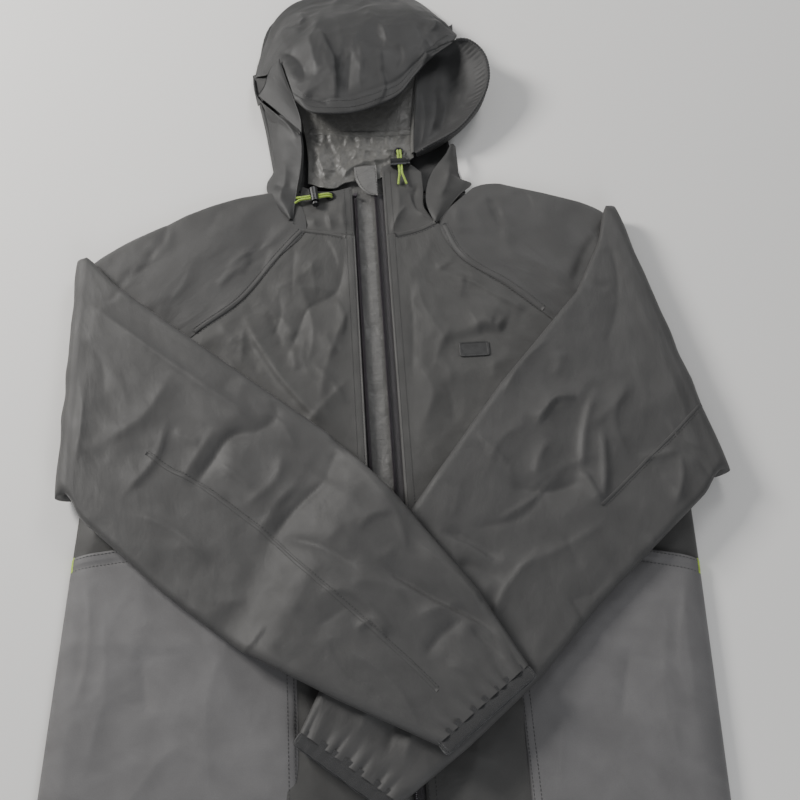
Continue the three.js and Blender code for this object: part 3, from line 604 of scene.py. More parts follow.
def crowned(distance, reach, low, high):
    """Height that rises like a rounded edge from low at the border to high at reach inside it."""
    t = np.clip(distance / reach, 0, 1)
    return low + (high - low) * np.sqrt(1 - (1 - t) ** 2.4)


def front(side):
    """A front panel, from the zip to the side seam and the raglan seam, with its folds."""
    rows, cols = 250, 116
    s = side.sign
    inner = np.array([beside_zip(side.edge, y) for y in np.linspace(HEM_Y, COLLAR_Y, rows)])
    seam_line = spline([(s * 288, HEM_Y), (s * 287, -200), (s * 286, -60), (s * 283, 70)], 80)
    outer = evenly(np.vstack([seam_line, spline(side.raglan, 60)[::-1][1:]]), rows)
    share = np.linspace(0, 1, cols) ** 0.92
    p = np.zeros((rows, cols, 3))
    p[..., :2] = inner[:, None] + (outer - inner)[:, None] * share[None, :, None]
    x, y = p[..., 0], p[..., 1]
    at_side = 1 - smoothstep((y[:, -1] - 40) / 60)[:, None]
    from_side = np.linalg.norm(p[..., :2] - outer[:, None], axis=2)
    from_zip = np.linalg.norm(p[..., :2] - inner[:, None], axis=2)
    z = crowned(from_side, 26, mix(11.6, 1.4, at_side), 12.3)
    inside = smoothstep(from_side / 26) * smoothstep(from_zip / 22)
    turn = 112 if side is RIGHT else 70
    chest = (min(30 * s, 200 * s), 20, max(30 * s, 200 * s), 280)
    lift = relief(x, y, CHEST_FOLDS[side.name] + LOWER_FOLDS)
    lift += relief(x, y, scattered(210 + s, 26, chest, turn, 28, (24, 80), (4, 9), (0.8, 2.2)))
    lift += crumple(x, y, 20 + s, size=64, height=0.4)
    lift += buckles(x, y, 120 + s, size=44, height=5.0, turn=turn)
    lift += buckles(x, y, 124 + s, size=19, height=1.5, turn=turn + 50)
    under_badge = away_from(x, y, [(74, 141), (100, 151)], 13) if side is LEFT else 1.0
    z = z + np.clip(lift, -3.4, 5.8) * inside * under_badge
    placket = np.exp(-((from_zip - 4) / 4.5) ** 2)
    z += placket * (0.5 + 0.5 * noise(y / 23, x * 0 + s, 60))
    under_sleeve = (y < 60) & (z > 16.4)
    p[..., 2] = np.minimum(z, np.where(under_sleeve, 16.4, 18.2))
    cloth(f"{side.name}_front", p, SHELL, stands_for=(f"{side.name}_front_panel",))


def back():
    """The back panel, flat on the bed."""
    rows, cols = 120, 84
    ys = np.linspace(HEM_Y, NECK_Y, rows)
    ends = []
    for side in (RIGHT, LEFT):
        seam_line = spline([(side.sign * 286, HEM_Y), (side.sign * 285, -100), (side.sign * 281, 70)], 60)
        rail = np.vstack([seam_line, spline(side.raglan, 50)[::-1][1:], [side.neck]])
        ends.append(np.interp(ys, rail[:, 1], rail[:, 0]))
    x = np.linspace(*ends, cols, axis=1)
    y = ys[:, None] + 0 * x
    z = np.maximum(1.35 + 0.55 * np.clip(crumple(x, y, 31, size=90, height=0.8), -1.3, 1.6), 0.75)
    cloth("back", np.stack([x, y, z], 2), SHELL, stands_for=("back_panel",))


back()
front(RIGHT)
front(LEFT)

# ---------------------------------------------------------------- Sleeves

LEFT_ARM_Z, RIGHT_ARM_Z, CROSSED_Z = 19.8, 20.8, 34.5
CREASE_TOP = 17.7        # no crease on the shoulder part of a sleeve rises over this
UNDER_ARM_TOP = 17.6     # and none over this where the folded arm lies on it
FOLD_INSET = 11          # from a sleeve's outermost line to where its cloth starts to turn
N_STUB, N_TURN, N_ARM = 80, 9, 210
ACROSS = 0.62 * np.linspace(0, 1, 96) + 0.38 * (0.5 - 0.5 * np.cos(np.linspace(0, np.pi, 96)))
STUB_FOLDS = {
    "right": [
        ("step", [(-262, 168), (-240, 196), (-206, 240), (-160, 300)], 16, 3.4),
        ("ridge", [(-150, 318), (-176, 280), (-214, 250)], 10, 2.6),
        ("ridge", [(-120, 300), (-140, 262), (-176, 224)], 9, -2.4),
        ("crease", [(-226, 292), (-232, 262), (-258, 236)], 7, 2.2),
        ("ridge", [(-290, 240), (-270, 200), (-250, 176)], 10, 2.0),
    ],
    "left": [
        ("ridge", [(118, 338), (124, 296), (128, 262), (160, 243), (190, 212)], 9, 3.6),
        ("step", [(236, 306), (206, 262), (186, 214)], 14, -3.4),
        ("ridge", [(95, 246), (125, 222), (145, 207), (176, 178)], 7, 2.2),
        ("ridge", [(74, 326), (77, 290), (94, 292)], 6, 2.6),
        ("ridge", [(160, 330), (172, 290), (180, 250)], 12, 1.8),
    ],
}
ARM_FOLDS = {
    "right": [
        ("crease", [(-178, -12), (-162, 16), (-146, 41), (-124, 50)], 8, -2.9),
        ("ridge", [(-150, 42), (-124, 46), (-104, 62), (-110, 84)], 9, -1.8),
        ("ridge", [(-188, -6), (-174, 24), (-160, 50)], 9, 1.8),
        ("crease", [(-106, -66), (-84, -34), (-60, -10), (-44, 2)], 8, -2.9),
        ("ridge", [(-116, -60), (-98, -26), (-76, 0)], 9, 1.8),
        ("ridge", [(-56, -7), (-50, 12), (-45, 27)], 8, -1.8),
        ("ridge", [(-300, 190), (-250, 150), (-180, 98), (-110, 48)], 9, 2.6),
        ("ridge", [(-270, 30), (-230, 60), (-205, 110)], 14, 2.2),
        ("step", [(-240, -20), (-212, 20), (-206, 60)], 12, 2.0),
        ("ridge", [(-93, -58), (-61, -68), (-20, -92)], 7, -2.8),
        ("step", [(-10, -84), (46, -118), (81, -137), (100, -156)], 12, -4.4),
        ("crease", [(72, -140), (88, -158), (102, -172)], 6, -2.6),
        ("ridge", [(20, -60), (60, -96), (96, -140)], 11, 3.2),
        ("crease", [(-26, -146), (-12, -138), (2, -152)], 5, 2.2),
        ("ridge", [(-130, -30), (-100, 0), (-96, 30)], 9, 2.0),
        ("ridge", [(-20, 0), (10, -40), (20, -80)], 10, 2.2),
        ("crease", [(-60, -112), (-30, -112), (10, -150)], 7, 2.2),
        ("ridge", [(33, -170), (47, -150), (70, -132)], 8, -2.4),
        ("ridge", [(-300, 120), (-286, 60), (-290, 0)], 12, 1.8),
    ],
    "left": [
        ("step", [(140, 52), (149, 66), (160, 80), (182, 82)], 9, 3.2),
        ("step", [(200, 92), (190, 66), (184, 40), (181, 6)], 11, 3.4),
        ("crease", [(179, 10), (190, -12), (197, -27)], 7, 3.0),
        ("crease", [(202, 54), (202, 10), (197, -27)], 7, 3.0),
        ("ridge", [(112, -6), (150, -12), (184, 0)], 12, -3.6),
        ("ridge", [(244, 270), (256, 226), (264, 174), (273, 121)], 9, 3.2),
        ("ridge", [(222, 280), (232, 230), (228, 180), (210, 130)], 12, -2.0),
        ("ridge", [(300, 170), (302, 120), (296, 70)], 12, 2.2),
        ("crease", [(232, 20), (252, 22), (273, 28)], 6, 1.8),
        ("crease", [(273, 28), (272, 0), (262, -30)], 6, 1.8),
        ("step", [(160, 150), (130, 120), (110, 84)], 10, 2.2),
        ("step", [(49, -50), (78, -62), (104, -82)], 8, -3.0),
        ("ridge", [(60, -80), (80, -84), (104, -100)], 9, -2.6),
        ("ridge", [(236, 110), (214, 60), (226, 16)], 12, 2.0),
        ("ridge", [(-20, -150), (-10, -190), (-24, -236)], 8, 2.6),
        ("ridge", [(20, -160), (14, -200), (0, -250)], 8, -2.6),
        ("ridge", [(60, -170), (30, -210), (14, -260)], 9, 2.4),
    ],
}


def distance_to(outline, x, y):
    """How far points are from a closed outline, and 0 inside it."""
    best = np.full(np.shape(x), np.inf)
    inside = np.zeros(np.shape(x), bool)
    for (ax, ay), (bx, by) in zip(outline, np.roll(outline, -1, axis=0)):
        dx, dy = bx - ax, by - ay
        t = np.clip(((x - ax) * dx + (y - ay) * dy) / (dx * dx + dy * dy + 1e-9), 0, 1)
        best = np.minimum(best, np.hypot(x - ax - t * dx, y - ay - t * dy))
        crosses = ((ay > y) != (by > y)) & (x < (bx - ax) * (y - ay) / (by - ay + 1e-9) + ax)
        inside ^= crosses
    return np.where(inside, 0, best)


def arm_outline(side):
    """The closed outline of a folded arm, seen from above."""
    return np.vstack([evenly(side.upper, 30), evenly(side.lower, 30)[::-1]])


def arm_floor(side, x, y):
    """Height of what a folded arm lies on: the right arm crosses over the left."""
    if side is LEFT:
        return np.full(np.shape(x), LEFT_ARM_Z)
    return mix(CROSSED_Z, RIGHT_ARM_Z, smoothstep((distance_to(arm_outline(LEFT), x, y) - 44) / 56))


def fold_line(side):
    """Where a sleeve's cloth starts to turn over, and the direction out of the fold."""
    fold = evenly(side.fold, len(ACROSS))
    out = unit(np.array([fold[-1][1] - fold[0][1], fold[0][0] - fold[-1][0]]))
    if out[0] * side.sign < 0:
        out = -out
    return fold - out * FOLD_INSET, out


def stub(side, turned, out):
    """Plan and upper height of a sleeve's shoulder part, from the raglan seam to the fold."""
    raglan = spline([side.neck] + side.raglan, 200)
    s = np.linspace(0, 1, len(raglan))
    start = np.stack([np.interp(ACROSS, s, raglan[:, k]) for k in (0, 1)], 1) - out * 3
    u = np.linspace(0, 1, N_STUB)
    edges = []
    for line, n, end in ((side.shoulder, 60, 0), (side.armpit, 30, -1)):
        edge = mix(start[end], evenly(spline(line, n), N_STUB), smoothstep(4 * u)[:, None])
        edges.append(mix(edge, turned[end], smoothstep(4 * u - 3)[:, None]))
    uu, vv = u[:, None, None], ACROSS[None, :, None]
    plan = ((1 - uu) * start[None] + uu * turned[None] + (1 - vv) * edges[0][:, None] + vv * edges[1][:, None]
            - (1 - uu) * (1 - vv) * start[0] - (1 - uu) * vv * start[-1]
            - uu * (1 - vv) * turned[0] - uu * vv * turned[-1])
    x, y = plan[..., 0], plan[..., 1]
    top = mix(12.6, 16.4, smoothstep(u * 1.3))[:, None] + 0 * x
    fade = smoothstep(u / 0.12)[:, None] * smoothstep((1 - u) / 0.25 + 0.25)[:, None]
    run = 62 if side is RIGHT else 118
    lift = relief(x, y, STUB_FOLDS[side.name]) + crumple(x, y, 40 + side.sign, size=70, height=0.5)
    lift += buckles(x, y, 140 + side.sign, size=38, height=5.0, turn=run)
    lift += buckles(x, y, 144 + side.sign, size=18, height=1.5, turn=20)
    lift += relief(x, y, scattered(230 + side.sign, 22, (x.min(), 150, x.max(), 340), run, 26, (26, 76), (4, 9),
                                   (0.8, 2.4)))
    room = CREASE_TOP - top
    lift = np.clip(lift, -4, 5) * fade
    top = top + np.where(lift > 0, room * np.tanh(lift / room), lift)
    covered = distance_to(arm_outline(side), x, y) < 6
    return plan, np.where(covered, np.minimum(top, UNDER_ARM_TOP), top)


def folded_arm(side, turned):
    """Plan, upper height and lower height of the part of a sleeve that lies on the front."""
    w = np.linspace(0, 1, N_ARM)
    blend_in = (1 - smoothstep(w / 0.10))[:, None]
    upper = evenly(side.upper, N_ARM) - blend_in * (side.upper[0] - turned[0])
    lower = evenly(side.lower, N_ARM) - blend_in * (side.lower[0] - turned[-1])
    across = ACROSS[None, :]
    plan = upper[:, None] + (lower - upper)[:, None] * across[..., None]
    x, y = plan[..., 0], plan[..., 1]
    floor = arm_floor(side, x, y)
    length = np.linalg.norm((upper[-1] + lower[-1]) / 2 - (upper[0] + lower[0]) / 2)
    to_cuff = (1 - w)[:, None] * length + 0 * x
    run = -38 if side is RIGHT else 232
    middle = (x.min() + 20, y.min() + 40, x.max() - 20, y.max() - 40)
    lift = 1.45 * relief(x, y, ARM_FOLDS[side.name]) + crumple(x, y, 50 + side.sign, size=72, height=0.5)
    lift += buckles(x, y, 150 + side.sign, size=50, height=5.4, turn=run)
    lift += buckles(x, y, 154 + side.sign, size=20, height=1.1, turn=run + 40)
    lift += relief(x, y, scattered(250 + side.sign, 34, middle, run, 30, (30, 110), (5, 11), (0.8, 2.4)))
    lift += relief(x, y, scattered(270 + side.sign, 22, middle, run + 80, 26, (18, 52), (4, 8), (0.8, 2.0)))
    near_cuff = smoothstep(1 - to_cuff / 60)
    phase = across * 2 * np.pi * 7.5 + 2.6 * noise(across * 6 + 0 * x, to_cuff / 60, 77)
    pleats = (np.abs(np.cos(phase / 2)) * 2.6 - 1.3) * (1 + 0.5 * noise(across * 9 + 0 * x, to_cuff / 24, 79))
    lift = lift * (1 - 0.7 * near_cuff) + pleats * smoothstep(1 - to_cuff / 34) ** 1.5
    top = floor + 11.6 + np.clip(lift, -7.0, 7.6) * smoothstep(w / 0.05 + 0.1)[:, None]
    return plan, top, floor + 0.5 + 0.5 * smoothstep(1 - to_cuff / 46) * (1 + np.cos(across * 50))


def there_and_back(there, home):
    """A grid that goes across one side of a sleeve and back across the other."""
    return np.concatenate([there, home[:, ::-1][:, 1:-1]], axis=1)


def sleeve(side):
    """One sleeve as a closed tube: its shoulder part, the turn at the fold and the folded arm."""
    turned, out = fold_line(side)
    plan, stub_top = stub(side, turned, out)
    arm, arm_top, arm_low = folded_arm(side, turned)
    angle = np.linspace(0, np.pi, N_TURN + 2)[1:-1]
    wave = 1 + 0.12 * noise(ACROSS * 9, ACROSS * 0, 88)
    plans, heights = [], []
    for reach, first, second in ((12.5 * wave[None, :, None], np.full(plan.shape[:2], 0.7), arm_top),
                                 (3.0, stub_top, arm_low)):
        turn = np.stack([mix(first[-1], second[0], 0.5 - 0.5 * np.cos(a)) for a in angle])
        over = turned[None] + out * (reach * np.sin(angle)[:, None, None])
        plans.append(np.concatenate([plan, over, arm]))
        heights.append(np.concatenate([first, turn, second]))
    middle = there_and_back(*[(heights[0] + heights[1]) / 2] * 2)
    widths = np.linalg.norm(plans[0][:, 0] - plans[0][:, -1], axis=1)[:, None]
    from_edge = np.minimum(ACROSS, 1 - ACROSS)[None, :] * widths
    round_edge = there_and_back(*[np.sqrt(1 - (1 - np.clip(from_edge / 8.0, 0, 1)) ** 2)] * 2)
    z = middle + (there_and_back(*heights) - middle) * round_edge
    p = np.concatenate([there_and_back(*plans), z[..., None]], axis=2)
    rows, cols = p.shape[:2]
    names = [f"{side.name}_{part}" for part in
             ("upper_sleeve_under", "upper_sleeve_top", "forearm_under", "forearm_top")]
    faces = loop_faces(rows, cols)
    q = p.reshape(-1, 3)
    on_top = (N_STUB + N_TURN + 30) * cols + 20
    a, b, c = q[on_top], q[on_top + 1], q[on_top + cols]
    if np.cross(b - a, c - a)[2] < 0:
        faces = [f[::-1] for f in faces]
    body = None if side is RIGHT else "root"
    obj = finished(f"{side.name}_sleeve", q, faces, SLEEVE, body, names, flat_lengths(p))
    if side is RIGHT:
        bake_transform(obj)


sleeve(LEFT)
sleeve(RIGHT)

# ---------------------------------------------------------------- Hood and collar


def coons(low, high, left, right, rows, cols):
    """A patch between four lines: low and high run left to right, left and right run low to high."""
    c0, c1 = spline(low, cols), spline(high, cols)
    d0, d1 = spline(left, rows), spline(right, rows)
    u = np.linspace(0, 1, cols)[None, :, None]
    v = np.linspace(0, 1, rows)[:, None, None]
    return ((1 - v) * c0[None] + v * c1[None] + (1 - u) * d0[:, None] + u * d1[:, None]
            - (1 - u) * (1 - v) * c0[0] - u * (1 - v) * c0[-1] - (1 - u) * v * c1[0] - u * v * c1[-1])


def between_rails(first, second, rows, cols):
    """A patch of straight lines from one smooth line to another."""
    a, b = spline(first, rows), spline(second, rows)
    return a[:, None] + (b - a)[:, None] * np.linspace(0, 1, cols)[None, :, None]


CROWN_FOLDS = [
    ("step", [(-58, 432), (-57, 452), (-60, 486), (-70, 518), (-82, 556)], 13, 6.5),
    ("ridge", [(-46, 440), (-44, 470), (-40, 510)], 6, -3.6),
    ("ridge", [(-30, 450), (-30, 480), (-24, 520)], 8, 2.4),
    ("crease", [(-6, 474), (-9, 492), (-10, 514)], 5, 2.0),
    ("ridge", [(-126, 520), (-108, 512), (-94, 486), (-92, 464)], 11, -6.5),
    ("step", [(-104, 560), (-98, 574), (-104, 596)], 8, 3.4),
    ("ridge", [(-78, 470), (-84, 500), (-92, 540)], 10, 4.0),
    ("ridge", [(-132, 566), (-112, 560), (-98, 546)], 14, 3.5),
    ("ridge", [(-20, 540), (20, 548), (50, 556)], 16, 2.6),
    ("crease", [(46, 536), (52, 545), (54, 562)], 5, 2.4),
    ("ridge", [(-2, 448), (20, 474), (44, 506)], 6, -1.6),
    ("ridge", [(-90, 446), (-70, 438), (-64, 430)], 5, -2.2),
]
BRIM = [(-103, 447, 37), (-85, 427, 40), (-61, 422, 42), (-37, 424, 42), (-9, 435, 42), (13, 450, 42),
        (30, 477, 42), (50, 505, 41), (73, 529, 37)]


def crown():
    """The top of the hood and the turned-in brim. Returns the brim's edge."""
    rows, cols = 130, 130
    far = [(-153, 504, 6), (-150, 531, 5), (-143, 563, 5), (-134, 596, 5), (-112, 622, 6), (-74, 636, 6),
           (-30, 640, 6), (18, 634, 6), (46, 612, 7), (62, 586, 9), (74, 558, 14)]
    left = [(-103, 447, 37), (-112, 476, 36), (-122, 503, 32), (-137, 494, 20), (-153, 504, 6)]
    right = [(73, 529, 37), (77, 538, 32), (77, 548, 22), (74, 558, 14)]
    p = coons(BRIM, far, left, right, rows, cols)
    t = np.linspace(0, 1, rows)[:, None]
    u = np.linspace(0, 1, cols)[None, :]
    dome = 7 * np.sin(np.pi * np.clip(t * 1.1, 0, 1)) * np.sin(np.pi * u) ** 0.6
    z = mix(p[:1, :, 2], p[-1:, :, 2], t ** 2.6) + dome
    z = mix(z, np.minimum(z, p[..., 2] + 4), np.exp(-((u / 0.05) ** 2)))
    x, y = p[..., 0], p[..., 1]
    lift = relief(x, y, CROWN_FOLDS) + crumple(x, y, 70, size=60, height=0.5)
    lift += buckles(x, y, 170, size=30, height=5.0, turn=80) + buckles(x, y, 174, size=15, height=1.4, turn=30)
    lift += relief(x, y, scattered(290, 22, (-120, 450, 60, 620), 96, 26, (24, 80), (4, 9), (0.8, 2.4)))
    fade = smoothstep(t / 0.05 + 0.25) * smoothstep((1 - t) / 0.08) * smoothstep((1 - u) / 0.06)
    p[..., 2] = z + np.clip(lift, -9, 7) * fade
    drawcord_channel = np.exp(-(((t - 0.085) / 0.010) ** 2))
    p[..., 2] -= 0.7 * drawcord_channel
    brim = p[0]
    under = hung(brim, [(0, 34, -7), (0, 22, -5.5), (0, 14, -4.6), (0, 6, -3.6), (0, 0.6, -2.8),
                        (0, -1.0, -1.4)], 0)
    p = np.concatenate([under, p])
    cloth("hood_crown_cloth", p, HOOD, stands_for=("hood_crown",))
    return brim


def cheek():
    """The wearer's right side of the hood: a turned-over flap, the strip under it and the neck's side."""
    flap = between_rails([(-123, 505, 35), (-133, 494, 30), (-139, 474, 26), (-146, 466, 20)],
                         [(-122, 505, 35), (-113, 476, 34), (-103, 447, 33), (-95, 421, 31), (-94, 406, 28)],
                         60, 28)
    x, y = flap[..., 0], flap[..., 1]
    flap[..., 2] += 1.2 * np.sin(np.pi * np.linspace(0, 1, 28))[None] + buckles(x, y, 191, size=26, height=2.2)
    cloth("hood_cheek_flap", flap, HOOD, stands_for=("right_hood_side",), thick=0.8)
    strip = between_rails([(-154, 503, 8), (-148, 470, 14), (-122, 437, 21), (-95, 405, 26)],
                          [(-152, 498, 3), (-139, 458, 4), (-126, 430, 8), (-106, 400, 14)], 30, 10)
    strip[..., 2] += 2.0 * np.sin(np.pi * np.linspace(0, 1, 10))[None]
    cloth("hood_cheek_strip", strip, HOOD)
    tuck = between_rails([(-156, 510, 4), (-153, 488, 5), (-147, 462, 7)],
                         [(-130, 503, 22), (-134, 484, 20), (-138, 464, 17)], 20, 12)
    cloth("hood_cheek_tuck", tuck, HOOD)
    side = between_rails([(-140, 460, 2), (-136, 444, 2), (-129, 405, 3), (-125, 373, 4), (-131, 356, 5),
                          (-128, 336, 10), (-104, 300, 14)],
                         [(-97, 413, 25), (-94, 396, 26), (-93, 379, 25), (-94, 358, 23), (-97, 335, 19),
                          (-99, 317, 16), (-100, 301, 14.5)], 100, 40)
    x, y = side[..., 0], side[..., 1]
    across = np.linspace(0, 1, 40)[None]
    side[..., 2] += buckles(x, y, 193, size=24, height=3.0, turn=80) * np.sin(np.pi * across)
    side[..., 2] += 3.5 * np.sin(np.pi * across ** 0.8) + relief(x, y, [
        ("step", [(-128, 440), (-112, 424), (-98, 400)], 9, 3.5),
        ("ridge", [(-112, 380), (-110, 350), (-116, 322)], 8, 2.5),
        ("ridge", [(-122, 348), (-108, 340), (-98, 344)], 6, -1.8)]) * np.sin(np.pi * across)
    side[..., 2] = np.maximum(side[..., 2], 1.6)
    cloth("hood_neck_side", side, HOOD)
    inner = hung(side[:, -1], [(0, 0, -0.4), (2.0, 0, -2.5), (1.5, 0, -7), (-1, 0, -12), (-4, 0, -17)])
    inner[..., 2] = np.maximum(inner[..., 2], 5)
    cloth("hood_neck_inside", inner, HOOD, flip=True)


def rim_side():
    """The wearer's left side of the hood: an open flared cup whose rim is gathered. Returns the rim."""
    edge = [(36, 524, 22), (32, 492, 25), (30, 453, 24), (28, 413, 20), (28, 390, 16)]
    rim = [(70, 530, 38), (88, 528, 41), (105, 511, 40), (111, 485, 37), (107, 461, 32), (93, 435, 28),
           (74, 413, 24), (46, 397, 19), (31, 389, 16)]
    rows, cols = 180, 64
    cup = between_rails(edge, rim, rows, cols)
    s = np.linspace(0, 1, cols)[None]
    t = np.linspace(0, 1, rows)[:, None]
    wide = np.linalg.norm(cup[:, 0, :2] - cup[:, -1, :2], axis=1)[:, None]
    hollow = 0.30 * wide * np.sin(np.pi * s ** 1.15) * mix(0.9, 0.6, t)
    x, y = cup[..., 0], cup[..., 1]
    lift = relief(x, y, [("step", [(38, 470), (40, 430), (36, 396)], 8, 2.6),
                         ("ridge", [(54, 480), (52, 440), (44, 408)], 7, 2.2),
                         ("ridge", [(66, 470), (62, 440), (54, 414)], 6, -1.8),
                         ("ridge", [(84, 486), (78, 456), (66, 430)], 7, 1.6)])
    gathers = np.cos(t * 2 * np.pi * 34 + 2.0 * noise(t * 14, t * 0, 64)) * np.exp(-(((s - 0.93) / 0.07) ** 2))
    lift = lift + 1.1 * gathers + buckles(x, y, 195, size=22, height=3.0, turn=70)
    lift += buckles(x, y, 197, size=9, height=1.8, turn=40) * smoothstep((s - 0.35) / 0.4)
    cup[..., 2] = np.maximum(cup[..., 2] - hollow + lift * np.sin(np.pi * np.clip(s * 0.94 + 0.03, 0, 1)), 3.2)
    cloth("hood_cup", cup, HOOD, stands_for=("left_hood_side",), thick=0.7)
    wall = hung(cup[:, 0], [(0, 0, -0.3), (-1.6, 0, -1.8), (-2.4, 0, -5), (-3.2, 0, -9), (-3.6, 0, -15)])
    wall[..., 2] = np.maximum(wall[..., 2], 6.5)
    cloth("hood_lining_wall", wall, LINING, flip=True)
    top = cup[:, -1]
    base = spline([(62, 560, 3), (84, 546, 3), (99, 516, 3), (103, 485, 3), (99, 462, 3), (87, 440, 3),
                   (70, 420, 3), (50, 404, 3), (34, 394, 5)], len(top))
    w = np.linspace(0, 1, 14)[None, :, None]
    outer = top[:, None] + (base - top)[:, None] * w
    away = unit(outer[..., :2] - outer[..., :2].mean(axis=(0, 1)))
    outer[..., :2] += away * 3.0 * np.sin(np.pi * w)
    outer[..., 2] -= 0.6
    cloth("hood_cup_outside", outer, HOOD)
    return top


def lining():
    """The crinkled lining inside the hood, with a smooth gathered band under the brim."""
    rows, cols = 130, 120
    p = coons([(-86, 350, 12), (-60, 343, 12.5), (-44, 352, 11.5), (-20, 356, 10.5), (0, 362, 10.5),
               (28, 386, 12)],
              [(-106, 470, 24), (-60, 474, 26), (-10, 480, 27), (36, 506, 26)],
              [(-86, 350, 12), (-88, 390, 11), (-94, 425, 15), (-106, 470, 24)],
              [(28, 386, 12), (28, 413, 12), (30, 453, 17), (36, 506, 26)], rows, cols)
    x, y = p[..., 0], p[..., 1]
    rough = 1 - smoothstep((y - 408) / 12) * smoothstep((x + 84) / 12) * smoothstep((24 - x) / 14)
    gather = np.cos(x / 2.3 + 3 * noise(x / 14, y / 30, 33)) * np.exp(-(((y - 411) / 9) ** 2))
    lift = crumple(x, y, 35, size=26, height=0.8, stretch=(0.7, 1.3)) * rough + 0.9 * gather
    lift += (buckles(x, y, 180, size=9, height=3.4, turn=80) + buckles(x, y, 184, size=5, height=1.2)) * rough
    lift += relief(x, y, [("step", [(-80, 404), (-74, 380), (-66, 352)], 8, 3.2),
                          ("ridge", [(-66, 410), (-58, 380), (-54, 348)], 7, -2.6),
                          ("step", [(-52, 352), (-38, 372), (-16, 380), (6, 386)], 8, 3.0),
                          ("ridge", [(-30, 412), (-32, 396), (-40, 380)], 6, 2.2),
                          ("ridge", [(2, 412), (0, 398), (-4, 388)], 6, 2.0),
                          ("ridge", [(-90, 440), (-84, 420), (-84, 400)], 5, 2.4)])
    band = 1.6 * np.exp(-(((y - 436) / 20) ** 2)) * (1 - rough)
    s = np.linspace(0, 1, cols)[None]
    edge = smoothstep(s * 8) * smoothstep((1 - s) * 8)
    p[..., 2] = np.maximum(p[..., 2] + (np.clip(lift, -3, 5) + band) * edge, 5)
    cloth("hood_lining_cloth", p, LINING, stands_for=("hood_lining",))


def hood_back():
    """The hood's back, flat on the bed."""
    p = between_rails([(-120, 346), (-136, 425), (-150, 490), (-150, 533), (-140, 590), (-108, 620)],
                      [(84, 346), (66, 420), (64, 500), (68, 560), (46, 606), (20, 622)], 70, 50)
    z = 1.3 + 0.4 * crumple(p[..., 0], p[..., 1], 45, size=60, height=1)
    p = np.concatenate([p[..., :2], np.maximum(z, 0.7)[..., None]], axis=2)
    cloth("hood_floor", p, HOOD, stands_for=("hood_back",))


def collars():
    """The neck panels beside the zip, and the left one's turned-over fold."""
    zip_low, zip_high = beside_zip(RIGHT.edge, COLLAR_Y), beside_zip(RIGHT.edge, 346)
    p = coons([(-102, 298, 13), (-89, 290, 12.4), (-62, 284, 12.4), (*zip_low, 12.0)],
              [(-92, 346, 12), (-74, 339, 12.6), (-56, 340, 12.6), (*zip_high, 12.0)],
              [(-102, 298, 13), (-98, 320, 12), (-92, 346, 12)],
              [(*zip_low, 12.0), (*beside_zip(RIGHT.edge, 315), 12.4), (*zip_high, 12.0)], 54, 54)
    x, y = p[..., 0], p[..., 1]
    p[..., 2] += away_from(x, y, [(-75, 320), (-90, 318)], 11) * np.clip(relief(x, y, [
        ("step", [(-78, 332), (-66, 314), (-58, 288)], 9, 4.2),
        ("ridge", [(-88, 330), (-80, 308), (-76, 292)], 6, 2.4),
        ("ridge", [(-96, 322), (-88, 300), (-84, 290)], 5, -2.0),
        ("ridge", [(-46, 335), (-48, 310), (-44, 286)], 7, 2.6)])
        + buckles(x, y, 136, size=20, height=2.6, turn=100), -2, 6)
    cloth("right_collar", p, SHELL, stands_for=("right_neck_panel",))
    zip_low, zip_high = beside_zip(LEFT.edge, COLLAR_Y), beside_zip(LEFT.edge, 372)
    p = coons([(*zip_low, 12.0), (24, 287, 12.4), (36, 292, 12.6), (50, 300, 13)],
              [(*zip_high, 12), (4, 378, 12.4), (22, 376, 12.6), (36, 366, 12)],
              [(*zip_low, 12.0), (*beside_zip(LEFT.edge, 330), 12.4), (*zip_high, 12)],
              [(50, 300, 13), (39, 320, 11), (38, 345, 10), (36, 366, 12)], 76, 54)
    x, y = p[..., 0], p[..., 1]
    p[..., 2] += np.clip(relief(x, y, [
        ("ridge", [(10, 352), (12, 318), (6, 290)], 8, 2.6),
        ("step", [(20, 322), (8, 300), (4, 284)], 6, 2.2),
        ("crease", [(46, 302), (30, 316), (22, 340)], 7, 2.6),
        ("ridge", [(32, 352), (28, 330), (34, 308)], 6, -2.4)])
        + buckles(x, y, 137, size=20, height=2.6, turn=70), -2.5, 5)
    cloth("left_collar", p, SHELL, stands_for=("left_neck_panel",))
    crest = [(68, 398, 19), (62, 382, 22), (47, 360, 20), (41, 340, 18), (41, 320, 16), (49, 299, 14)]
    foot = [(74, 402, 10), (76, 372, 12), (77, 357, 13), (90, 350, 12), (76, 334, 13), (52, 298, 13)]
    fold = between_rails(crest, foot, 80, 40)
    x, y = fold[..., 0], fold[..., 1]
    s = np.linspace(0, 1, 40)[None]
    fold[..., 2] += buckles(x, y, 139, size=18, height=2.4, turn=70) * np.sin(np.pi * s)
    fold[..., 2] += 2.6 * np.sin(np.pi * s) + relief(x, y, [
        ("ridge", [(66, 372), (64, 350), (56, 326)], 6, 2.2)]) * np.sin(np.pi * s)
    cloth("left_collar_fold", fold, SHELL, thick=0.8)


brim_line = crown()
cheek()
rim_line = rim_side()
lining()
hood_back()
collars()

rib = np.cos(np.arange(260) * 1.3)
edge_line = spline(rim_line[::-1][6:-2:6] + np.array([0.4, 0, 0.6]), 260)
tube("hood_rim_binding", edge_line, 1.5 + 0.22 * rib, ELASTIC, stands_for=("hood_binding",))
tube("hood_brim_cord", brim_line[1:-1:2] + np.array([0, 3.4, -3.0]), 1.5, ELASTIC)

# ---------------------------------------------------------------- Pockets, hem and cuffs

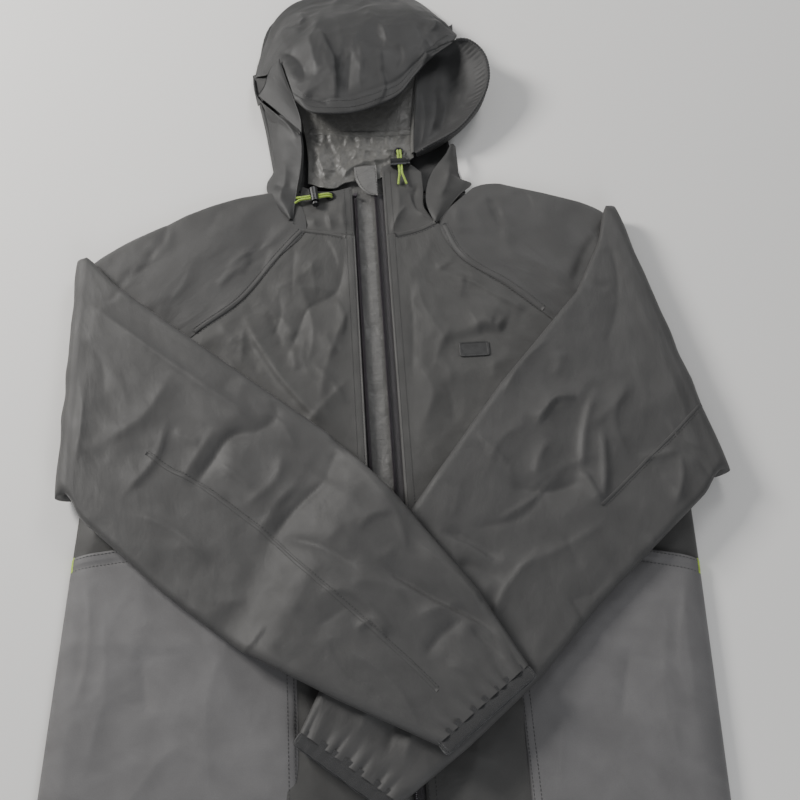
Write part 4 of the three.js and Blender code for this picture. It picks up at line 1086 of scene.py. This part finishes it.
POCKET_FOLDS = [
    ("ridge", [(214, -150), (206, -184), (200, -214)], 16, -2.4),
    ("ridge", [(250, -110), (240, -180), (246, -260)], 14, 1.8),
    ("ridge", [(130, -120), (150, -200), (140, -290)], 18, 1.6),
    ("ridge", [(180, -240), (210, -280), (250, -320)], 18, 1.8),
    ("step", [(268, -90), (258, -150), (262, -210)], 10, 1.6)]


def pocket(side):
    """A pocket panel over the lower front, with a stitched mouth."""
    rows, cols = 130, 96
    s = side.sign
    top = spline(pocket_mouth(side)[::-1], cols)
    low = evenly([beside_zip(s * POCKET_INNER, HEM_Y), (s * 288, HEM_Y)], cols)
    t = np.linspace(0, 1, rows)[:, None]
    p = np.zeros((rows, cols, 3))
    p[..., :2] = low[None] * (1 - t[..., None]) + top[None] * t[..., None]
    x, y = p[..., 0], p[..., 1]
    from_side = np.linalg.norm(p[:, -1:, :2] - p[..., :2], axis=2)
    from_inner = np.linalg.norm(p[:, :1, :2] - p[..., :2], axis=2)
    z = np.minimum(crowned(from_side, 28, 2.4, 16.6), crowned(from_inner, 16, 12.9, 16.6))
    lift = relief(x, y, [(kind, [(s * a, b) for a, b in points], width, height)
                         for kind, points, width, height in POCKET_FOLDS])
    lift += buckles(x, y, 162 + s, size=60, height=3.4, turn=80) + buckles(x, y, 164, size=22, height=0.9)
    inside = smoothstep(from_side / 24) * smoothstep(from_inner / 24)
    z = z + np.clip(lift, -2.6, 2.4) * inside
    over_stitch = (t - 1) * 270 + 11
    z = z - 0.7 * np.exp(-(over_stitch / 1.6) ** 2) + 0.4 * smoothstep(over_stitch / 3)
    p[..., 2] = np.minimum(z, 18.6)
    p = np.concatenate([p, hung(p[-1], [(0, 0.4, -0.9), (0, -1.5, -1.9)], 0)])
    cloth(f"{side.name}_pocket", p, POCKET, stands_for=(f"{side.name}_pocket_panel",))


def stadium_ring(half, high, n):
    """Points round a flattened ring, from its middle."""
    turn = np.linspace(0, 2 * np.pi, n, endpoint=False)
    flat = half - high
    c, s = np.cos(turn), np.sin(turn)
    return np.stack([np.sign(c) * np.abs(c) ** 0.6 * high + flat * np.clip(1.6 * c, -1, 1),
                     np.sign(s) * np.abs(s) ** 0.75 * high], 1)


def cuff(side, body):
    """The bound elastic at the end of a sleeve, turned in at its mouth."""
    ends = np.array([side.upper[-1], side.lower[-1]], float)
    middle = ends.mean(axis=0)
    across = unit(ends[1] - ends[0])
    along = np.array([-across[1], across[0]])
    previous = np.mean([side.upper[-2], side.lower[-2]], axis=0)
    if along @ (middle - previous) < 0:
        along = -along
    base = float(arm_floor(side, middle[0], middle[1])) + 6.0
    n = 200
    k = np.arange(n)
    rows = []
    for depth, inset in ((-5, 0.0), (-2, 0.1), (0, 0.4), (2, 0.0), (5, -0.1), (8, 0.0), (10, 0.4), (10.8, 1.0),
                         (10.2, 1.8), (7, 2.2), (0, 2.2), (-6, 2.2)):
        ring = stadium_ring(49.5 - inset, 6.1 - 0.8 * inset, n)
        gather = 1 + 0.028 * np.cos(k * 2 * np.pi / 5.0) + 0.02 * noise(k / 3.0, k * 0.0 + depth / 7, 15)
        ring = ring * np.stack([0.5 + 0.5 * gather, gather], 1)
        wobble = 0.8 * noise(ring[:, 0] / 16, ring[:, 1] / 9, 17)
        plan = middle + across * ring[:, :1] + along * (depth + wobble)[:, None]
        rows.append(np.column_stack([plan, base + ring[:, 1]]))
    faces = loop_faces(len(rows), n)
    q = np.array(rows).reshape(-1, 3)
    first = faces[2 * n]
    normal = np.cross(q[first[1]] - q[first[0]], q[first[3]] - q[first[0]])
    if normal @ (q[first[0]] - np.array([*middle, base])) < 0:
        faces = [f[::-1] for f in faces]
    girth = np.tile(k * 1.1, len(rows))
    run = np.repeat(np.arange(len(rows)) * 3.0, n)
    finished(f"{side.name}_cuff", q, faces, ELASTIC, body, (f"{side.name}_cuff_binding",),
             np.column_stack([girth, run]))


def hem_roll(name, line, node_name, low, high):
    """A bound elastic hem: a flat roll with gathers across it."""
    line = evenly(line, 240)
    n = 14
    turn = np.linspace(0, 2 * np.pi, n, endpoint=False)
    k = np.arange(len(line))
    puff = 1 + 0.05 * np.cos(k * 1.25) + 0.06 * noise(k / 2.5, k * 0.0, 19)
    oval = np.sign(np.sin(turn)) * np.abs(np.sin(turn)) ** 0.6
    p = np.zeros((len(line), n, 3))
    p[..., 0] = line[:, :1]
    p[..., 1] = line[:, 1:] - 5.6 + 6.0 * np.cos(turn)[None]
    p[..., 2] = ((low + high) / 2)[:, None] + ((high - low) / 2 * puff)[:, None] * oval
    faces = [f[::-1] for f in loop_faces(len(line), n, capped=True)]
    girth = np.tile(np.arange(n) * 1.6, len(line))
    finished(name, p.reshape(-1, 3), faces, ELASTIC, "root", (node_name,),
             np.column_stack([np.repeat(k * 1.2, n), girth]))


def hem_front(side):
    """The hem's binding along one front, over the pocket's lower edge."""
    inner = beside_zip(side.edge, HEM_Y)[0] + side.sign * 0.5
    x = np.linspace(inner, side.sign * 286, 240)
    from_side = np.abs(side.sign * 288 - x)
    pocket_on = smoothstep((np.abs(x - inner) - 78) / 12)
    top = crowned(from_side, 26, 2.6, 12.6) + 2.6 * pocket_on * smoothstep(from_side / 30)
    low = np.maximum(top - mix(3.4, 5.4, pocket_on), 1.6)
    hem_roll(f"{side.name}_hem", np.column_stack([x, np.full(240, HEM_Y)]), f"{side.name}_front_hem", low, top)


pocket(RIGHT)
pocket(LEFT)
cuff(LEFT, "root")
cuff(RIGHT, "right_forearm")
hem_front(RIGHT)
hem_front(LEFT)
hem_roll("back_hem", np.array([(-285, HEM_Y), (285, HEM_Y)], float), "hem_binding_back",
         np.full(240, 0.2), np.full(240, 1.9))

# ---------------------------------------------------------------- Front zip


def ribbon(name, u, z, start, end, mat, stands_for, rows=180, wave=0.15, crease=None):
    """A flat strip in the zip's own frame, across the list u at heights z."""
    grid = np.array([[zip_at(a, s, b) for a, b in zip(u, z)] for s in np.linspace(start, end, rows)])
    x, y = grid[..., 0], grid[..., 1]
    grid[..., 2] += wave * noise(x / 9, y / 17, 12)
    if crease:
        grid[..., 2] += crease(x, y)
    cloth(name, grid, mat, stands_for=stands_for)


def coil(name, u, start, stands_for):
    """A nylon zip coil: one flattened helix with a small head at each turn."""
    z, pitch, half, high, steps = 0.15, 1.5, 1.15, 1.6, 8
    turns = int((ZIP_LENGTH - 4 - start) / pitch)
    k = np.arange(turns * steps)
    a = k * 2 * np.pi / steps
    s = start + k * pitch / steps
    cu = u + half * np.sign(np.cos(a)) * np.abs(np.cos(a)) ** 0.7
    cz = z + high * (0.5 + 0.5 * np.sin(a))
    path = np.array([zip_at(a1, s1, z1) for a1, s1, z1 in zip(cu, s, cz)])
    tube(name, path, 0.46, COIL, stands_for=stands_for, sides=5)


def beside_zip_u(x, y):
    """How far points lie across the zip from the middle of its left chain."""
    return (x - ZIP_FOOT[0]) * math.cos(LEAN) + (y - ZIP_FOOT[1]) * math.sin(LEAN)


def flap_creases(x, y):
    """Crinkles of the storm flap where it shows between the two chains."""
    u = beside_zip_u(x, y)
    lift = np.clip(crumple(x, y, 81, size=24, height=0.8, stretch=(0.8, 1.6)), -1.4, 1.9)
    return lift * smoothstep((u + 44) / 3) * (1 - smoothstep((u + 4) / 5))


def zip_parts():
    """Both tapes and coils and the storm flap behind them."""
    ribbon("left_tape", np.linspace(-0.6, 12.4, 8), np.full(8, -0.4), 2, ZIP_LENGTH, TAPE,
           ("left_zip_tape",))
    ribbon("right_tape", np.linspace(-26.5, -20.4, 6), np.full(6, -0.4), 0, ZIP_LENGTH, TAPE,
           ("right_zip_tape",))
    coil("left_coil", 0.5, 9, ("left_zip_teeth",))
    coil("right_coil", -21.0, 15, ("right_zip_teeth",))
    u = np.concatenate([np.linspace(-44, -4, 22), np.linspace(-1, 8, 5), np.linspace(10, 17, 4)])
    z = np.interp(u, [-45, 2, 10, 18], [-4.9, -4.6, -1.6, -1.5])
    ribbon("storm_flap_cloth", u, z, 0, ZIP_LENGTH + 24, RIPSTOP, ("storm_flap",), rows=240,
           wave=0.2, crease=flap_creases)


def garage():
    """The folded patch that covers the zip's top. Returns its grid."""
    rows, cols = 26, 18
    straight = evenly([(3.2, ZIP_LENGTH - 4), (3.2, ZIP_LENGTH + 36)], rows)
    bow = spline([(2.6, ZIP_LENGTH - 5), (-7, ZIP_LENGTH - 2), (-16, ZIP_LENGTH + 8), (-20.5, ZIP_LENGTH + 20),
                  (-21, ZIP_LENGTH + 34)], rows)
    grid = np.zeros((rows, cols, 3))
    for i in range(rows):
        for j, t in enumerate(np.linspace(0, 1, cols)):
            u, s = mix(straight[i], bow[i], t)
            grid[i, j] = zip_at(u, s, 3.9 + 0.9 * math.sin(math.pi * t) + 0.5 * (t > 0.92) - 1.0 * (t == 1))
    grid[..., 2] += 0.25 * crumple(grid[..., 0], grid[..., 1], 83, size=16, height=1)
    cloth("garage", grid, RIPSTOP, stands_for=("zip_garage",), thick=0.7)
    return grid


zip_parts()
garage_grid = garage()

for mat, names in ((ENAMEL, ("zip_slider", "zip_pull")),
                   (COIL, ("zip_box", "zip_pin", "left_top_stop", "right_top_stop")),
                   (EYELET, ("left_eyelet", "right_eyelet")),
                   (BLACK, ("left_lock_barrel", "right_lock_barrel")),
                   (BLACK, ("left_lock_plunger", "right_lock_plunger"))):
    for name in names:
        NODES[name].data.materials.clear()
        NODES[name].data.materials.append(mat)

# ---------------------------------------------------------------- Seams and stitches


def trees_of(*names):
    """Search trees over the surfaces of some pieces."""
    found = []
    for name in names:
        mesh = bpy.data.objects[name].data
        found.append(BVHTree.FromPolygons([v.co[:] for v in mesh.vertices],
                                          [tuple(f.vertices) for f in mesh.polygons]))
    return found


def dropped(points, trees, above=0.0):
    """Points set on the highest of some surfaces under them, in millimetres."""
    out = []
    for x, y in np.asarray(points, float)[:, :2]:
        best = None
        for tree in trees:
            hit = tree.ray_cast(Vector((x * MM, y * MM, 0.2)), Vector((0, 0, -1)))[0]
            if hit is not None and (best is None or hit.z > best):
                best = hit.z
        if best is not None:
            out.append((x, y, best / MM + above))
    return np.array(out)


def beside(line, off):
    """A line moved sideways in plan."""
    line = np.asarray(line, float)[:, :2]
    along = unit(np.gradient(line, axis=0))
    return line + np.column_stack([-along[:, 1], along[:, 0]]) * off


def seam(name, line, on, mat, wide=4.5, high=0.55, body="root"):
    """A felled seam: a narrow doubled strip of fabric that lies along a line."""
    line = np.asarray(line, float)[:, :2]
    line = spline(line, max(int(lengths_along(line)[-1] / 3), 8))
    trees = trees_of(*on)
    columns = []
    for share, lift in ((-0.5, -0.25), (-0.46, high * 0.75), (-0.2, high), (0.2, high), (0.46, high * 0.75),
                        (0.5, -0.25)):
        points = beside(line, wide * share)
        set_down = dropped(points, trees)
        if len(set_down) != len(points):
            z = np.interp(np.arange(len(points)), np.arange(len(set_down)), set_down[:, 2])
            set_down = np.column_stack([points, z])
        columns.append(set_down + np.array([0, 0, lift]))
    cloth(name, np.stack(columns, 1), mat, body=body, thick=0.25)


STITCH = ((-0.5, 0, -0.15), (-0.32, 1, 0), (-0.32, -1, 0), (-0.3, 0, 0.26), (0.3, 0, 0.26), (0.32, 1, 0),
          (0.32, -1, 0), (0.5, 0, -0.15))
STITCH_FACES = ((0, 3, 1), (0, 2, 3), (1, 3, 4, 5), (3, 2, 6, 4), (7, 5, 4), (7, 4, 6), (0, 1, 5, 7),
                (0, 7, 6, 2))
STITCH_PITCH, STITCH_LENGTH, STITCH_WIDE = 3.3, 2.3, 0.62


def stitches(name, line, on, body="root"):
    """A row of lockstitches along a line on some surfaces."""
    line = np.asarray(line, float)[:, :2]
    smooth = spline(line, max(int(lengths_along(line)[-1] / STITCH_PITCH), 2) * 2 + 1)
    ends = dropped(smooth, trees_of(*on), 0.22)
    verts, faces = [], []
    for a, b in zip(ends[:-1:2], ends[1::2]):
        size = np.linalg.norm(b - a)
        if size < 0.3 or size > 3 * STITCH_PITCH:
            continue
        along = (b - a) / size
        aside = np.array([-along[1], along[0], 0])
        faces += [[len(verts) + i for i in f] for f in STITCH_FACES]
        verts += [(a + b) / 2 + along * s * STITCH_LENGTH + aside * w * STITCH_WIDE / 2 + np.array([0, 0, h])
                  for s, w, h in STITCH]
    finished(name, verts, faces, THREAD, body)


def body_seams(side):
    """The raglan seam and the rows of stitches along the placket, the collar and the pocket of one side."""
    name, s = side.name, side.sign
    both = (f"{name}_front", f"{name}_sleeve")
    seen = 56 if side is RIGHT else 47
    line = spline(side.raglan, 100)[1:seen]
    seam(f"{name}_raglan_seam", line, both, SLEEVE, wide=3.8, high=0.4)
    for row, off in (("a", 3.4), ("b", -3.4)):
        stitches(f"{name}_raglan_stitch_{row}", beside(line, off), (f"{name}_raglan_seam", *both))
    collar_top = 344 if side is RIGHT else 368
    mouth = spline(pocket_mouth(side), 60)
    for row, piece, u, low, high, n in (
            ("placket_stitch_0", "front", side.edge + s * 2.4, HEM_Y + 2, COLLAR_Y - 2, 40),
            ("collar_stitch_0", "collar", side.edge + s * 2.4, COLLAR_Y + 2, collar_top, 12),
            ("placket_stitch_1", "front", side.edge + s * 8.6, HEM_Y + 2, COLLAR_Y - 2, 40),
            ("collar_stitch_1", "collar", side.edge + s * 8.6, COLLAR_Y + 2, collar_top, 12),
            ("pocket_edge_stitch_0", "pocket", s * (POCKET_INNER + 2.4), HEM_Y + 2, -58, 40),
            ("pocket_edge_stitch_1", "pocket", s * (POCKET_INNER + 8.0), HEM_Y + 2, -58, 40)):
        stitches(f"{name}_{row}", [beside_zip(u, y) for y in np.linspace(low, high, n)], (f"{name}_{piece}",))
    stitches(f"{name}_pocket_mouth_stitch", mouth + np.array([0, -12.5]), (f"{name}_pocket",))
    stitches(f"{name}_pocket_mouth_edge", mouth + np.array([0, -2.2]), (f"{name}_pocket",))


def collar_seam(side, line, stitched):
    """The seam at the foot of a collar, and the row of stitches below it."""
    name = f"{side.name}_collar_seam"
    seam(name, line, (f"{side.name}_front", f"{side.name}_collar"), SHELL)
    stitches(name + "_stitch", stitched, (f"{side.name}_front", name))


def forearm_seam(side, body, line):
    """The seam along a folded forearm, with a row of stitches beside it."""
    name, on = f"{side.name}_forearm_seam", f"{side.name}_sleeve"
    seam(name, line, (on,), SLEEVE, wide=3.2, high=0.3, body=body)
    stitches(f"{side.name}_forearm_stitch", beside(spline(line, 60), 3.0), (name, on), body)


body_seams(RIGHT)
body_seams(LEFT)
collar_seam(RIGHT, [(-100, 296), (-86, 289), (-66, 286), (-44, 281)],
            [(-98, 293), (-84, 286), (-66, 283), (-46, 278)])
collar_seam(LEFT, [(8, 283), (24, 287), (38, 292), (50, 299)], [(10, 280), (26, 284), (40, 289), (50, 295)])
forearm_seam(RIGHT, "right_forearm", [(-222, 24), (-200, 8), (-173, -6), (-137, -32), (-103, -59), (-72, -90),
                                      (-22, -134), (27, -179), (44, -196)])
forearm_seam(LEFT, "root", [(300, 78), (271, 47), (243, 20), (203, -20), (196, -27)])
for row, off in (("a", 15.0), ("b", 6.0)):
    channel = brim_line[2:-2:3, :2] + np.array([0, off])
    stitches(f"hood_channel_stitch_{row}", channel, ("hood_crown_cloth",))
seam("lining_tape", spline([(-86, 418), (-40, 415), (0, 416), (27, 420)], 60), ("hood_lining_cloth",), LINING,
     wide=7, high=0.6)
stitches("garage_stitch", garage_grid[1:25:2, -3], ("garage",))
stitches("garage_edge_stitch", garage_grid[1:25:2, 1], ("garage",))



def badge():
    """A plain tonal patch with a raised border."""
    rows, cols = 26, 44
    middle_x, middle_y = 87, 146
    v, u = np.meshgrid(np.linspace(-1, 1, rows), np.linspace(-1, 1, cols), indexing="ij")
    x = 15 * u * (1 - 0.05 * np.abs(v) ** 8)
    y = 8 * v * (1 - 0.08 * np.abs(u) ** 8)
    c, s = math.cos(LEAN), math.sin(LEAN)
    plan = np.column_stack([(middle_x + x * c - y * s).ravel(), (middle_y + x * s + y * c).ravel()])
    p = dropped(plan, trees_of("left_front"), 0.55).reshape(rows, cols, 3)
    border = np.maximum(np.abs(u), np.abs(v)) > 0.86
    p[..., 2] += 0.4 * border
    cloth("badge_patch", p, BADGE, stands_for=("chest_badge",), thick=0.6)


badge()


def bartack(side):
    """Neon thread worked over and over across the end of a pocket mouth."""
    x = side.sign * 285
    trees = trees_of(f"{side.name}_pocket", f"{side.name}_front")
    turn = np.arange(6) * np.pi / 3
    ring = np.column_stack([0 * turn, 0.55 * np.cos(turn), 0.4 * np.sin(turn)])
    verts, faces = [], []
    for y in -83 + 1.25 * np.arange(12):
        path = dropped(spline([(x - 2.6, y), (x, y + 0.3), (x + 2.6, y)], 9), trees, 0.45)
        if len(path) < 4:
            continue
        path[[0, -1], 2] -= 0.7
        base, last = len(verts), (len(path) - 1) * 6
        verts += [q + step for q in path for step in ring]
        loops = loop_faces(len(path), 6) + [list(range(6)), [last + i for i in range(6)][::-1]]
        faces += [[base + i for i in f] for f in loops]
    finished(f"{side.name}_bartack", verts, faces, NEON_THREAD, "root",
             (f"{side.name}_pocket_tack",))


bartack(RIGHT)
bartack(LEFT)


def spring(side):
    """The lock's compression spring, wound about its plunger."""
    to_world = LOCKS[side.name]
    turns, steps = 5, 14
    a = np.arange(turns * steps + 1) * 2 * np.pi / steps
    low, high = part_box(f"{side.name}_lock_spring")
    middle_z = (low.z + high.z) / 2 / MM - 12
    across = (high.z - low.z) / 2 / MM - 0.35
    along = -8.2 + 3.0 * a / (turns * 2 * np.pi)
    path = np.column_stack(to_world(along, across * np.cos(a), middle_z + across * np.sin(a)))
    wire = tube(f"{side.name}_spring_coil", path, 0.3, STEEL, body=f"{side.name}_lock",
                stands_for=(f"{side.name}_lock_spring",), sides=6)
    fixed_end, free_end = (Vector(to_world(x, 0, middle_z)) * MM for x in (-8.5, -5.0))
    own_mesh(wire)


spring(RIGHT)
spring(LEFT)

# ---------------------------------------------------------------- Stage and light


def stage():
    """A matt floor, an even sky and three area lamps."""
    floor_mesh = bpy.data.meshes.new("floor")
    floor_mesh.from_pydata([(-6, -6, 0), (6, -6, 0), (6, 6, 0), (-6, 6, 0)], [], [(0, 1, 2, 3)])
    paint, tree, shader = material("floor_paint", (0.80, 0.79, 0.77), 0.85)
    grain = node(tree, "ShaderNodeTexNoise", Scale=240.0, Detail=2.0)
    bumped(tree, shader, [(grain.outputs["Fac"], 0.05, 0.0003)])
    floor_mesh.materials.append(paint)
    floor = bpy.data.objects.new("floor", floor_mesh)
    scene.collection.objects.link(floor)

    scene.world = bpy.data.worlds.new("studio")
    scene.world.use_nodes = True
    sky = scene.world.node_tree.nodes["Background"]
    sky.inputs["Color"].default_value = (0.95, 0.97, 1.0, 1)
    sky.inputs["Strength"].default_value = 0.27
    for name, at, power, size, tint in [
            ("key", (-1.35, 0.85, 1.0), 36, 0.5, (1, 0.98, 0.95)),
            ("fill", (0.5, -1.6, 1.0), 13, 0.9, (0.95, 0.97, 1)),
            ("top", (0.6, 1.5, 1.2), 9, 0.6, (1, 1, 1))]:
        lamp = bpy.data.lights.new(name, "AREA")
        lamp.energy, lamp.size, lamp.color = power, size, tint
        light = bpy.data.objects.new(name, lamp)
        light.location = at
        light.rotation_euler = (Vector((0, 0.05, 0)) - Vector(at)).to_track_quat("-Z", "Y").to_euler()
        scene.collection.objects.link(light)


stage()
